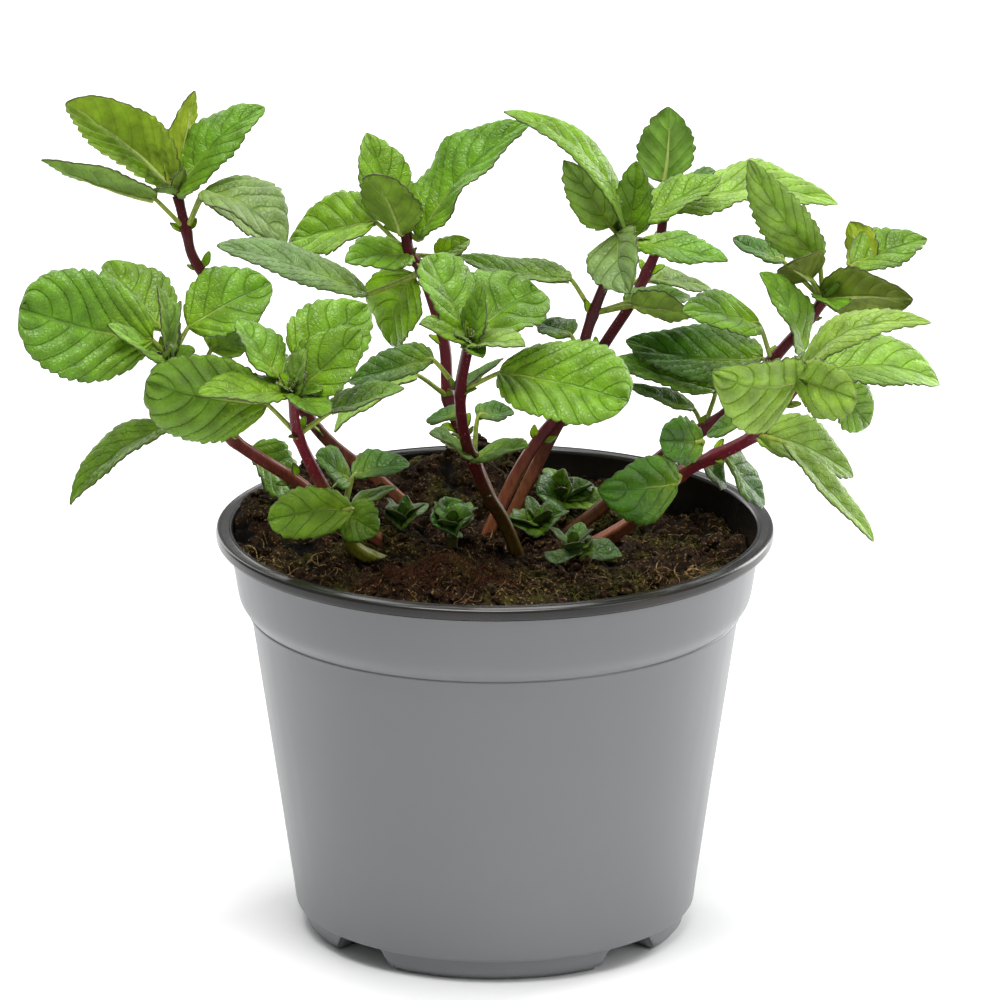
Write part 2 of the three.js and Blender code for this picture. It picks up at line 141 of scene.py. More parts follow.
# %% The studio
FLOOR_SIZE = 12.0
SURROUND_STRENGTH = 0.3
# Each soft box has a name, a place, a width and height, a power in watts and what it looks at
SOFT_BOXES = [
    ("overhead_box", (-0.1, -0.3, 1.5), (0.9, 0.8), 25, AIM),
    ("front_box", (1.1, -0.9, 0.7), (0.7, 0.8), 5, AIM),
    ("left_panel", (-0.75, 1.2, 0.5), (0.5, 1.0), 4, AIM),
    ("right_panel", (0.95, 0.85, 0.5), (0.6, 1.0), 15, AIM),
    ("floor_box", (0, 1.3, 1.1), (1.6, 0.7), 14, Vector((0, 1.0, 0))),
]


def mesh_of(name, bm):
    """A finished bmesh as a mesh."""
    data = bpy.data.meshes.new(name)
    bm.to_mesh(data)
    bm.free()
    return data


floor_shape = bmesh.new()
bmesh.ops.create_grid(floor_shape, x_segments=1, y_segments=1, size=FLOOR_SIZE / 2)
floor_data = mesh_of("studio_floor", floor_shape)
floor_paint = two_toned("matt_white_paint", [("Roughness", 0.9)], 25, ("#f7f7f7", "#fbfbfb"), detail=3.0)
floor_data.materials.append(floor_paint)
floor = bpy.data.objects.new("studio_floor", floor_data)
scene.collection.objects.link(floor)

surround = bpy.data.worlds.new("white_surround")
surround.use_nodes = True
join(surround.node_tree.nodes["Background"], [("Color", linear("#ffffff")), ("Strength", SURROUND_STRENGTH)])
scene.world = surround
scene.view_settings.view_transform = "Standard"

for name, place, size, power, target in SOFT_BOXES:
    light = bpy.data.lights.new(name, "AREA")
    light.shape = "RECTANGLE"
    light.size, light.size_y = size
    light.energy = power
    box = bpy.data.objects.new(name, light)
    box.location = place
    box.rotation_euler = (target - Vector(place)).to_track_quat("-Z", "Y").to_euler()
    scene.collection.objects.link(box)
print("soft boxes:", len(SOFT_BOXES))

# %% [markdown]
# Every finished piece goes through the same door: its bmesh becomes an object at the origin with its
# materials, it rides on the model's one body, and the CAD node that it stands for is hidden.

# %% Helper for pieces
def finish_piece(name, bm, materials, node, smooth=True):
    """Turns a bmesh into a piece of the object that replaces a CAD node."""
    data = mesh_of(name, bm)
    for material in materials:
        data.materials.append(material)
    data.polygons.foreach_set("use_smooth", [smooth] * len(data.polygons))
    piece = bpy.data.objects.new(name, data)
    scene.collection.objects.link(piece)
    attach(piece, "root")
    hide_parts(node)
    print(name, "faces:", len(data.polygons))
    return piece


def smooth_step(low, high, value):
    """0 below low and 1 above high, with a soft S between them; low may be the larger."""
    share = min(1.0, max(0.0, (value - low) / (high - low)))
    return share * share * (3 - 2 * share)


# %% [markdown]
# The pot is a nursery pot, pressed from a sheet of polypropylene that is grey outside and black
# inside. Its wall is one thin skin, so the whole pot is one closed outline turned about the axis:
# up the outside, over the flat rim with its turned-down edge, and down the inside. The corners are
# small arcs, as pressing leaves them, because a sharp corner would catch no light. Spin with
# use_merge closes the last step on the first.

# %% The pot's outline
POT_HEIGHT = 97.5
RIM_RADIUS = 65.3
RIM_DEPTH = 3
WALL = 1
COLLAR_RADIUS = 62.2
COLLAR_LOW_RADIUS = 59.9
COLLAR_BEND = 2.8
COLLAR_BOTTOM = 77.4
BODY_TOP_RADIUS = 57.2
BODY_BEND_RADIUS = 50.1
BODY_BEND_HEIGHT = 28
BODY_LOW_RADIUS = 47
BODY_LOW_HEIGHT = 12
FOOT_RADIUS = 44.6
FOOT_HEIGHT = 5.2
CHANNEL_WIDTH = 16
CHANNEL_START = 15
CHANNEL_ANGLES = [math.radians(a) for a in (45, 135, 225, 315)]
DRAIN_RADIUS = 3
DRAIN_PLACE = 31
LONGEST_STRETCH = 2.2


def rounded(corners, arc_steps=4):
    """A polyline whose corners, given as radius, height and rounding, are drawn as small curves."""
    line = []
    for i, (radius, height, rounding) in enumerate(corners):
        corner = Vector((radius, height))
        if rounding == 0 or i in (0, len(corners) - 1):
            line.append(corner)
            continue
        before = Vector(corners[i - 1][:2])
        after = Vector(corners[i + 1][:2])
        start = corner + (before - corner).normalized() * rounding
        end = corner + (after - corner).normalized() * rounding
        for step in range(arc_steps + 1):
            share = step / arc_steps
            line.append(start.lerp(corner, share).lerp(corner.lerp(end, share), share))
    return line


def divided(line, longest):
    """The same polyline with points added so that no stretch is longer than longest."""
    points = [line[0]]
    for start, end in zip(line, line[1:]):
        count = max(1, math.ceil((end - start).length / longest))
        points += [start.lerp(end, step / count) for step in range(1, count + 1)]
    return points


RIM_LOW = POT_HEIGHT - RIM_DEPTH
outside = [
    (0, 0, 0),
    (FOOT_RADIUS, 0, 2.4),
    (FOOT_RADIUS + 0.2, FOOT_HEIGHT, 0.5),
    (BODY_LOW_RADIUS, FOOT_HEIGHT + 0.5, 0.6),
    (BODY_LOW_RADIUS + 0.8, BODY_LOW_HEIGHT, 2),
    (BODY_BEND_RADIUS, BODY_BEND_HEIGHT, 4),
    (BODY_TOP_RADIUS, COLLAR_BOTTOM - 0.5, 0.15),
    (BODY_TOP_RADIUS + 0.6, COLLAR_BOTTOM - 0.4, 0.1),
    (BODY_TOP_RADIUS + 0.6, COLLAR_BOTTOM + 0.1, 0.15),
    (BODY_TOP_RADIUS + 0.4, COLLAR_BOTTOM + 0.3, 0.1),
    (COLLAR_LOW_RADIUS, COLLAR_BOTTOM + COLLAR_BEND, 2.2),
    (COLLAR_RADIUS, RIM_LOW + 0.2, 0.4),
]
rim = [
    (RIM_RADIUS - 0.5, RIM_LOW, 0.4),
    (RIM_RADIUS, RIM_LOW + 0.6, 0.4),
    (RIM_RADIUS - 0.1, POT_HEIGHT - 0.5, 0.4),
    (RIM_RADIUS - 0.7, POT_HEIGHT - 0.1, 0.3),
    (RIM_RADIUS - 1.2, POT_HEIGHT - 0.5, 0.3),
    (COLLAR_RADIUS + 0.4, POT_HEIGHT - 0.3, 0.5),
    (COLLAR_RADIUS - 0.4, POT_HEIGHT + 0.1, 0.4),
    (COLLAR_RADIUS - WALL, POT_HEIGHT - 0.6, 0.4),
]
inside = [
    (COLLAR_RADIUS - WALL, RIM_LOW, 0),
    (COLLAR_LOW_RADIUS - WALL, COLLAR_BOTTOM + COLLAR_BEND, 2.0),
    (BODY_TOP_RADIUS - WALL, COLLAR_BOTTOM, 0.4),
    (BODY_BEND_RADIUS - WALL, BODY_BEND_HEIGHT, 4),
    (BODY_LOW_RADIUS + 0.7 - WALL, BODY_LOW_HEIGHT, 2),
    (BODY_LOW_RADIUS - WALL, FOOT_HEIGHT + 1.4, 0.5),
    (FOOT_RADIUS - WALL, FOOT_HEIGHT + 0.6, 0.5),
    (FOOT_RADIUS - WALL, WALL, 1.0),
    (0, WALL, 0),
]
pot_line = divided(rounded(outside + rim + inside), LONGEST_STRETCH)
print("points in the pot's outline:", len(pot_line))

# %% [markdown]
# The outline is spun once round. The four drainage channels under the foot are then pressed up into
# the flat base, as the mould does it: every point in a channel is lifted, with a soft S at its
# flanks, and the inner skin is lifted with the outer one so that the wall keeps its thickness.

# %% The pot's shell
POT_STEPS = 360
CHANNEL_FLANK = 4.5
CHANNEL_RAMP = 2


def channel_lift(x, y):
    """How far up the drainage channels push the base at a place, in mm."""
    lift = 0
    for angle in CHANNEL_ANGLES:
        outward = x * math.cos(angle) + y * math.sin(angle)
        across = abs(y * math.cos(angle) - x * math.sin(angle))
        from_edge = across - CHANNEL_WIDTH / 2
        flank = smooth_step(CHANNEL_FLANK / 2, -CHANNEL_FLANK / 2, from_edge)
        start = smooth_step(CHANNEL_START - CHANNEL_RAMP, CHANNEL_START + CHANNEL_RAMP, outward)
        lift = max(lift, FOOT_HEIGHT * flank * start)
    return lift


def spun(line, steps):
    """A closed bmesh: a line of points, each a radius and a height, turned once round the axis."""
    turned = bmesh.new()
    verts = [turned.verts.new((point.x, 0, point.y)) for point in line]
    edges = [turned.edges.new(pair) for pair in zip(verts, verts[1:])]
    bmesh.ops.spin(
        turned,
        geom=verts + edges,
        cent=(0, 0, 0),
        axis=(0, 0, 1),
        angle=math.tau,
        steps=steps,
        use_merge=True,
    )
    bmesh.ops.remove_doubles(turned, verts=turned.verts, dist=1e-4)
    bmesh.ops.recalc_face_normals(turned, faces=turned.faces)
    return turned


pot = spun(pot_line, POT_STEPS)
for vert in pot.verts:
    radius = math.hypot(vert.co.x, vert.co.y)
    if vert.co.z < FOOT_HEIGHT + WALL:
        inner = radius < FOOT_RADIUS - WALL / 2 and vert.co.z > WALL / 2
        skin = WALL if inner else 0
        lifted = channel_lift(vert.co.x, vert.co.y) + skin
        vert.co.z = max(vert.co.z, min(lifted, FOOT_HEIGHT + skin))
print("points of the spun pot:", len(pot.verts))

# %% [markdown]
# Four round holes in the channels let water out. Faces of both skins are taken out round each
# hole's centre, the two ragged edges are drawn onto one circle, and a bridge closes the wall
# between them. The sheet is soft and thin, so the finished wall is also a little wavy.

# %% The drain holes, the pot's wobble and its two colours
for angle in CHANNEL_ANGLES:
    centre = Vector((DRAIN_PLACE * math.cos(angle), DRAIN_PLACE * math.sin(angle)))
    gone = [
        face
        for face in pot.faces
        if face.calc_center_median().z < FOOT_HEIGHT + 2 * WALL
        and (face.calc_center_median().xy - centre).length < DRAIN_RADIUS
    ]
    bmesh.ops.delete(pot, geom=gone, context="FACES")
    edges = [edge for edge in pot.edges if edge.is_boundary]
    for vert in {vert for edge in edges for vert in edge.verts}:
        vert.co.xy = centre + (vert.co.xy - centre).normalized() * DRAIN_RADIUS
    bmesh.ops.bridge_loops(pot, edges=edges)
print("open edges left in the pot:", sum(edge.is_boundary for edge in pot.edges))

WALL_WOBBLE = 0.16
WOBBLE_LENGTH = 38
GREY_PLASTIC, BLACK_PLASTIC = 0, 1
for vert in pot.verts:
    out = Vector((vert.co.x, vert.co.y, 0))
    if out.length > FOOT_RADIUS - 2 and vert.co.z > 1:
        bend = noise.noise(Vector((out.x, out.y, vert.co.z * 0.5)) / WOBBLE_LENGTH)
        vert.co += out.normalized() * WALL_WOBBLE * bend
for face in pot.faces:
    centre = face.calc_center_median()
    outer_skin = face.normal.dot(Vector((centre.x, centre.y, 0))) > 0 or face.normal.z < -0.5
    grey = outer_skin and centre.z < RIM_LOW - 0.1
    face.material_index = GREY_PLASTIC if grey else BLACK_PLASTIC
bmesh.ops.scale(pot, vec=(MM, MM, MM), verts=pot.verts)

# %% [markdown]
# Pressed polypropylene is smooth and a little waxy: it has soft, broad highlights and a very fine
# orange-peel from the mould. The sheet was drawn downwards, so its faint streaks run up and down.
# A little dust from the potting bench dulls the black rim.

# %% The pot's plastics
def plastic(name, code, dust_code, roughness, dust_amount):
    """Pressed polypropylene with mould grain, draw streaks and a little dust."""
    material, tree, shader = new_material(name, [("IOR", 1.49)])
    place = add(tree, "TexCoord").outputs["Object"]
    upright = add(tree, "Mapping", [("Vector", place), ("Scale", (1, 1, 0.08))])
    # Streaks about 4 mm wide, dust patches about 20 mm across and mould grain about 0.6 mm
    streaks, patches, grain = (
        add(tree, "TexNoise", [("Vector", spot), ("Scale", 1 / (size * MM)), ("Detail", detail)])
        for spot, size, detail in [(upright, 4, 2.0), (place, 20, 6.0), (place, 0.6, 2.0)]
    )
    dust = add(
        tree,
        "MapRange",
        [("Value", patches), ("From Min", 0.45), ("From Max", 0.75), ("To Max", dust_amount)],
    )
    rough = add(
        tree, "MapRange", [("Value", streaks), ("To Min", roughness - 0.05), ("To Max", roughness + 0.07)]
    )
    clean, dusty = linear(code), linear(dust_code)
    colour = add(tree, "Mix", [("Factor", dust), (COLOUR_A, clean), (COLOUR_B, dusty)], **COLOURS)
    bump = add(tree, "Bump", [("Height", grain), ("Strength", 0.08), ("Distance", 0.05 * MM)])
    join(shader, [("Base Color", colour), ("Roughness", rough), ("Normal", bump)])
    return material


grey_plastic = plastic("pressed_polypropylene_grey", "#6f7173", "#757678", 0.36, 0.2)
black_plastic = plastic("pressed_polypropylene_black", "#151413", "#3a352e", 0.24, 0.4)
finish_piece("nursery_pot", pot, [grey_plastic, black_plastic], "pot")

# %% [markdown]
# The peat fills the pot up to its collar. Its top is a disc spun from one straight line and pushed
# up and down by a formula: the same broad heaps as in the CAD solid, and on them clods and crumbs
# from layered noise. The sides and the bottom follow the pot's inside with a small gap, so that
# the piece is a closed body.

# %% The peat
SOIL_LEVEL = 90.2
HEAPS = [
    [-6, 50, 11, 12],
    [-42, 36, 11, 13],
    [-55, 8, 9, 14],
    [-30, -46, 4, 16],
    [6, -50, 5, 16],
    [-12, -38, 5, 9],
    [38, -38, 3, 14],
    [42, 26, -1.5, 14],
    [52, -4, -1, 10],
]
SOIL_GAP = 0.3
CLOD_SIZE, CLOD_HEIGHT = 8, 3.0
CRUMB_SIZE, CRUMB_HEIGHT = 2.6, 1.9
GRIT_SIZE, GRIT_HEIGHT = CRUMB_SIZE * 0.45, 0.8
# The three kinds of roughness are far apart in the noise, so that none follows another
CLOD_LAYER, CRUMB_LAYER, GRIT_LAYER = 7, 31, 53
PEAT_SINK = 0.5
HOLLOW_DEPTH = 1.7
PEAT_STEPS = 320
PEAT_RING = 0.75


def heap_height(x, y):
    """The broad shape of the peat's top, as in the CAD solid, in mm."""
    height = SOIL_LEVEL
    for heap_x, heap_y, rise, spread in HEAPS:
        height += rise * math.exp(-((x - heap_x) ** 2 + (y - heap_y) ** 2) / (2 * spread**2))
    return height


def peat_height(x, y):
    """The peat's top with its clods, crumbs and grit, in mm."""
    clods = noise.noise(Vector((x, y, CLOD_LAYER)) / CLOD_SIZE)
    crumbs = noise.noise(Vector((x, y, CRUMB_LAYER)) / CRUMB_SIZE)
    grit = abs(noise.noise(Vector((x, y, GRIT_LAYER)) / GRIT_SIZE))
    return heap_height(x, y) + CLOD_HEIGHT * clods + CRUMB_HEIGHT * crumbs + GRIT_HEIGHT * grit - PEAT_SINK


def within_wall(radius):
    """The radius that is left for the peat where the pot's outside has this radius, in mm."""
    return radius - WALL - SOIL_GAP


def peat_edge(height):
    """The radius that the collar leaves for the peat at a height, in mm."""
    top, low = within_wall(COLLAR_RADIUS), within_wall(COLLAR_LOW_RADIUS)
    bend = COLLAR_BOTTOM + COLLAR_BEND
    return low + (top - low) * (min(height, RIM_LOW) - bend) / (RIM_LOW - bend)


peat_radius = within_wall(COLLAR_RADIUS)
rings = int(peat_radius / PEAT_RING)
peat_line = [Vector((peat_radius * i / rings, SOIL_LEVEL)) for i in range(rings + 1)]
peat_line += [
    Vector((within_wall(COLLAR_LOW_RADIUS), COLLAR_BOTTOM + COLLAR_BEND)),
    Vector((within_wall(BODY_TOP_RADIUS), COLLAR_BOTTOM)),
    Vector((within_wall(BODY_BEND_RADIUS), BODY_BEND_HEIGHT)),
    Vector((within_wall(BODY_LOW_RADIUS + 0.7), BODY_LOW_HEIGHT)),
    Vector((within_wall(BODY_LOW_RADIUS) - 1, FOOT_HEIGHT + 1.8)),
    Vector((0, FOOT_HEIGHT + 1.8)),
]
peat = spun(peat_line, PEAT_STEPS)
hollow_layer = peat.verts.layers.float.new("hollow")
for vert in peat.verts:
    if vert.co.z < SOIL_LEVEL - 0.01:
        continue
    x, y = vert.co.xy
    height = peat_height(x, y)
    # How deep the point lies in a hollow, which the material paints nearly black as shade
    vert[hollow_layer] = smooth_step(0, -HOLLOW_DEPTH, height - heap_height(x, y))
    within = min(1, peat_edge(height) / max(math.hypot(x, y), 1))
    vert.co = (x * within, y * within, height)
print("peat's highest point in mm:", round(max(vert.co.z for vert in peat.verts), 1))
bmesh.ops.scale(peat, vec=(MM, MM, MM), verts=peat.verts)

# %% [markdown]
# Potting peat is dark brown when it is moist, with paler dry fibres, a little bark and moss in it.
# The crumbs are finer than the mesh can show, so the material adds them as bump, and its colour
# follows the same noise: dark in the gaps, which is the peat's own dark brown with painted shade on it,
# warm brown on the crumbs and straw-coloured at specks, with a bloom of moss in patches. The mesh says
# how deep each point lies in a hollow, and there painted shade makes the peat nearly black.

# %% The peat's material
MOSS_GREEN = "#54571d"
HOLLOW_PAINTED_SHADE = "#070504"


def peat_material(name, dark, brown, straw, straw_share):
    """Moist potting peat: crumbs, dark gaps and pale specks."""
    material, tree, shader = new_material(name, [("Roughness", 0.95), ("Specular IOR Level", 0.12)])
    place = add(tree, "TexCoord").outputs["Object"]
    # Crumbs about 1.2 mm across, patches of moss and straw about 14 mm and specks about 0.7 mm
    crumbs, patches, specks = (
        add(
            tree,
            "TexNoise",
            [("Vector", place), ("Scale", 1 / (size * MM)), ("Detail", detail), ("Roughness", uneven)],
        )
        for size, detail, uneven in [(1.2, 8.0, 0.7), (14, 3.0, 0.5), (0.7, 2.0, 0.5)]
    )
    # Where the crumb noise is low, in the bump's gaps, the dark tone shows: the peat's own dark brown with
    # painted shade
    brown_share = add(tree, "MapRange", [("Value", crumbs), ("From Min", 0.4), ("From Max", 0.64)])
    speck_share = add(
        tree,
        "MapRange",
        [("Value", specks), ("From Min", 0.64 - straw_share), ("From Max", 0.7 - straw_share)],
    )
    moss_patch = add(
        tree, "MapRange", [("Value", patches), ("From Min", 0.52), ("From Max", 0.68), ("To Max", 0.75)]
    )
    straw_spots = add(tree, "Math", [(0, speck_share), (1, patches)], operation="MULTIPLY")
    moss = add(tree, "Math", [(0, moss_patch), (1, brown_share)], operation="MULTIPLY")
    hollow = add(tree, "Attribute", attribute_name="hollow").outputs["Fac"]
    colour = linear(dark)
    # Over the dark tone: brown crumbs, straw specks, moss, and nearly black painted shade in the hollows
    for share, code in [(brown_share, brown), (straw_spots, straw), (moss, MOSS_GREEN), (hollow, HOLLOW_PAINTED_SHADE)]:
        over = linear(code)
        colour = add(tree, "Mix", [("Factor", share), (COLOUR_A, colour), (COLOUR_B, over)], **COLOURS)
    bump = add(tree, "Bump", [("Height", crumbs), ("Strength", 1.0), ("Distance", 1.0 * MM)])
    join(shader, [("Base Color", colour), ("Normal", bump)])
    return material


moist_peat = peat_material("moist_potting_peat", "#0d0704", "#402b19", "#a88a56", 0.03)
finish_piece("peat_bed", peat, [moist_peat], "soil")

# %% [markdown]
# Loose crumbs and fibres lie on the bed, and stems and stalks will grow out of it. Fibres, stems and
# stalks are all tubes. A curve object could be one, but a grid rolled about a route lets a rule say
# how thick the tube is and what colour it has at each place.

# %% A tube along a route
def frames_along(route):
    """The route's places with a direction, a side and an up at each, turned as little as possible."""
    placed = []
    side = Vector((1, 0, 0))
    for i, place in enumerate(route):
        ahead = route[min(i + 1, len(route) - 1)] - route[max(i - 1, 0)]
        ahead.normalize()
        side = side - ahead * side.dot(ahead)
        if side.length < 1e-3:
            side = ahead.orthogonal()
        side.normalize()
        placed.append((place, side.copy(), ahead.cross(side)))
    return placed


def add_tube(bm, route, sides, section, paint=None):
    """A closed tube: a grid rolled about the route. section(share, angle) gives its radius."""
    steps = len(route) - 1
    made = bmesh.ops.create_grid(bm, x_segments=sides, y_segments=steps, size=1)["verts"]
    placed = frames_along(route)
    for vert in made:
        angle = math.pi * (vert.co.x + 1)
        ring = round((vert.co.y + 1) / 2 * steps)
        place, side, up = placed[ring]
        radius = section(ring / steps, angle)
        if paint:
            paint(vert, ring / steps, angle)
        vert.co = place + (side * math.cos(angle) + up * math.sin(angle)) * radius
    merged = bmesh.ops.find_doubles(bm, verts=made, dist=1e-9)["targetmap"]
    kept = set(made) - set(merged)
    bmesh.ops.weld_verts(bm, targetmap=merged)
    rim_edges = {edge for vert in kept for edge in vert.link_edges if edge.is_boundary}
    bmesh.ops.holes_fill(bm, edges=list(rim_edges), sides=sides)


# %% [markdown]
# Crumbs are copies of a few dented balls, each turned and squashed in its own way, because copying a
# small mesh is quick while growing a large one is slow. They are placed by a seeded draw, so that
# every run makes the same ones.

# %% The crumbs
DRAW = random.Random(7)
MOUND = Vector((-10, -40))
MOUND_SPREAD = 13
PEAT_REACH = 58
CRUMB_COUNT = 1500
CRUMB_SHAPES = 24
CRUMB_EDGE = COLLAR_RADIUS - 2.5
CRUMBS_AT_MOUND = 0.2
# Crumbs larger than this, in mm, are copies of the finer balls
FINE_FROM = 0.9


def spot_on_peat(near_mound):
    """A random place on the peat, in mm, for the given share of draws near the front mound."""
    while True:
        if DRAW.random() < near_mound:
            spot = MOUND + Vector((DRAW.gauss(0, MOUND_SPREAD), DRAW.gauss(0, MOUND_SPREAD * 0.6)))
        else:
            spot = Vector((DRAW.uniform(-PEAT_REACH, PEAT_REACH), DRAW.uniform(-PEAT_REACH, PEAT_REACH)))
        if spot.length < CRUMB_EDGE:
            return spot


def kept_within(spot, radius):
    """The spot, or the nearest one to it that isn't farther out than the radius."""
    return spot.normalized() * radius if spot.length > radius else spot


def above_peat(spot, rise):
    """The place this far above a spot on the peat, in mm."""
    return Vector((spot.x, spot.y, peat_height(spot.x, spot.y) + rise))


def add_copy(bm, shape, placing):
    """Adds a copy of a small mesh, placed by a matrix, to a growing bmesh."""
    copy = shape.copy()
    copy.transform(placing)
    bm.from_mesh(copy)
    bpy.data.meshes.remove(copy)


def crumb_shape(number, detail):
    """One dented ball of radius 1, as a mesh that many crumbs are copied from."""
    ball = bmesh.new()
    bmesh.ops.create_icosphere(ball, subdivisions=detail, radius=1)
    for vert in ball.verts:
        vert.co *= 1 + 0.45 * noise.noise(vert.co * 1.4 + Vector((number, 0, 0)))
    return mesh_of("crumb_shape", ball)


coarse_shapes = [crumb_shape(number, 1) for number in range(CRUMB_SHAPES)]
fine_shapes = [crumb_shape(number, 2) for number in range(CRUMB_SHAPES)]
crumbs = bmesh.new()
for number in range(CRUMB_COUNT):
    spot = spot_on_peat(CRUMBS_AT_MOUND)
    size = 0.45 + 1.5 * DRAW.random() ** 3
    flat = Matrix.Diagonal((1, DRAW.uniform(0.6, 1), DRAW.uniform(0.45, 0.9))).to_4x4()
    turned = Matrix.Rotation(DRAW.uniform(0, math.tau), 4, Vector((DRAW.random(), DRAW.random(), 1)))
    shape = DRAW.choice(fine_shapes if size > FINE_FROM else coarse_shapes)
    placed = Matrix.Translation(above_peat(spot, size * 0.25) * MM)
    add_copy(crumbs, shape, placed @ turned @ flat @ Matrix.Scale(size * MM, 4))
finish_piece("peat_crumbs", crumbs, [moist_peat], "soil", smooth=False)

# %% [markdown]
# A fibre is a thin thread that bends over the peat and thins towards its end. The front mound of
# fluffy peat gets many of them.

# %% The fibres
FIBRE_COUNT = 300
FIBRE_STEPS = 6
FIBRE_EDGE = COLLAR_RADIUS - 2
FIBRES_AT_MOUND = 0.45

fibres = bmesh.new()
for number in range(FIBRE_COUNT):
    spot = spot_on_peat(FIBRES_AT_MOUND)
    length = DRAW.uniform(2.5, 9)
    heading = DRAW.uniform(0, math.tau)
    thickness = DRAW.uniform(0.07, 0.2)
    bow = DRAW.uniform(0.2, 1.6)
    bend = DRAW.uniform(-1.2, 1.2)
    route = []
    for step in range(FIBRE_STEPS + 1):
        share = step / FIBRE_STEPS
        turn = heading + bend * share
        stride = Vector((math.cos(turn), math.sin(turn))) * length / FIBRE_STEPS
        spot = kept_within(spot + stride, FIBRE_EDGE)
        route.append(above_peat(spot, 0.1 + bow * math.sin(math.pi * share)) * MM)
    add_tube(fibres, route, 4, lambda share, angle: thickness * MM * (1 - 0.6 * share))
dry_fibre = peat_material("dry_peat_fibre", "#4a3018", "#8a6a40", "#c9b283", 0.1)
finish_piece("peat_fibres", fibres, [dry_fibre], "soil")

# %% [markdown]
# Three kinds of thread make the surface lively: short red-brown fibres that stand up in a fluffy mound
# at the front, bits of straw at the right, and small tufts of moss. All are copies of a few bent
# threads of length 1, scaled, turned and strewn by one function.

# %% The fluffy mound, the straw and the moss
THREAD_SHAPES = 12
THREAD_STEPS = 5
THREAD_THICKNESS = 0.05
THREAD_EDGE = COLLAR_RADIUS - 4


def thread_shape(number):
    """One bent thread of length 1 along X, as a mesh that many bits are copied from."""
    thread = bmesh.new()
    bend = 0.15 * math.sin(2.1 * number)
    route = []
    for step in range(THREAD_STEPS + 1):
        share = step / THREAD_STEPS
        sway = bend * math.sin(math.pi * share)
        route.append(Vector((share - 0.5, sway, 0.08 * math.sin(number + 4 * share))))
    add_tube(thread, route, 3, lambda share, angle: THREAD_THICKNESS / 2 * (1 - 0.6 * share))
    return mesh_of("thread_shape", thread)


thread_shapes = [thread_shape(number) for number in range(THREAD_SHAPES)]


def strew(name, count, centres, spread, lengths, width, tilt, material):
    """Threads round the centres on the peat; tilt is how steeply they may stand, in radians."""
    strewn = bmesh.new()
    shaped = Matrix.Diagonal((1, width, width, 1))
    for number in range(count):
        centre = Vector(centres[number % len(centres)])
        spot = centre + Vector((DRAW.gauss(0, spread[0]), DRAW.gauss(0, spread[1])))
        length = DRAW.uniform(*lengths)
        turned = Matrix.Rotation(DRAW.uniform(0, math.tau), 4, "Z")
        tilted = Matrix.Rotation(-DRAW.uniform(0, 1) * tilt, 4, "Y")
        rise = DRAW.uniform(0.1, 0.5) + 0.7 * length * math.sin(tilt) * DRAW.random()
        placed = Matrix.Translation(above_peat(kept_within(spot, THREAD_EDGE), rise) * MM)
        sized = shaped @ Matrix.Scale(length * MM, 4)
        add_copy(strewn, DRAW.choice(thread_shapes), placed @ turned @ tilted @ sized)
    finish_piece(name, strewn, [material], "soil")


fluffy_peat = peat_material("fluffy_sphagnum_peat", "#24120a", "#613a22", "#8e6238", 0.03)
dry_straw = peat_material("dry_straw", "#5c4326", "#b99460", "#e4cc98", 0.1)
peat_moss = peat_material("living_moss", "#33380f", "#77792c", "#a5a350", 0.1)
mound_centres = [(MOUND.x + shift, MOUND.y) for shift in (-14, -7, 0, 7)]
strew("peat_mound_fluff", 3000, mound_centres, (4.5, 4.5), (1.2, 3.6), 1.3, 1.3, fluffy_peat)
straw_centres = [(44, -26), (37, -36), (51, -17), (-46, -20)]
strew("peat_straw", 130, straw_centres, (8, 5), (1.5, 5.5), 2.0, 0.7, dry_straw)
moss_centres = [(34, -34), (47, -22), (30, 30), (8, 44), (-46, 6), (-34, -32), (44, 8), (20, -44)]
strew("peat_moss_tufts", 800, moss_centres, (3.5, 3), (0.8, 2.0), 2.0, 1.3, peat_moss)
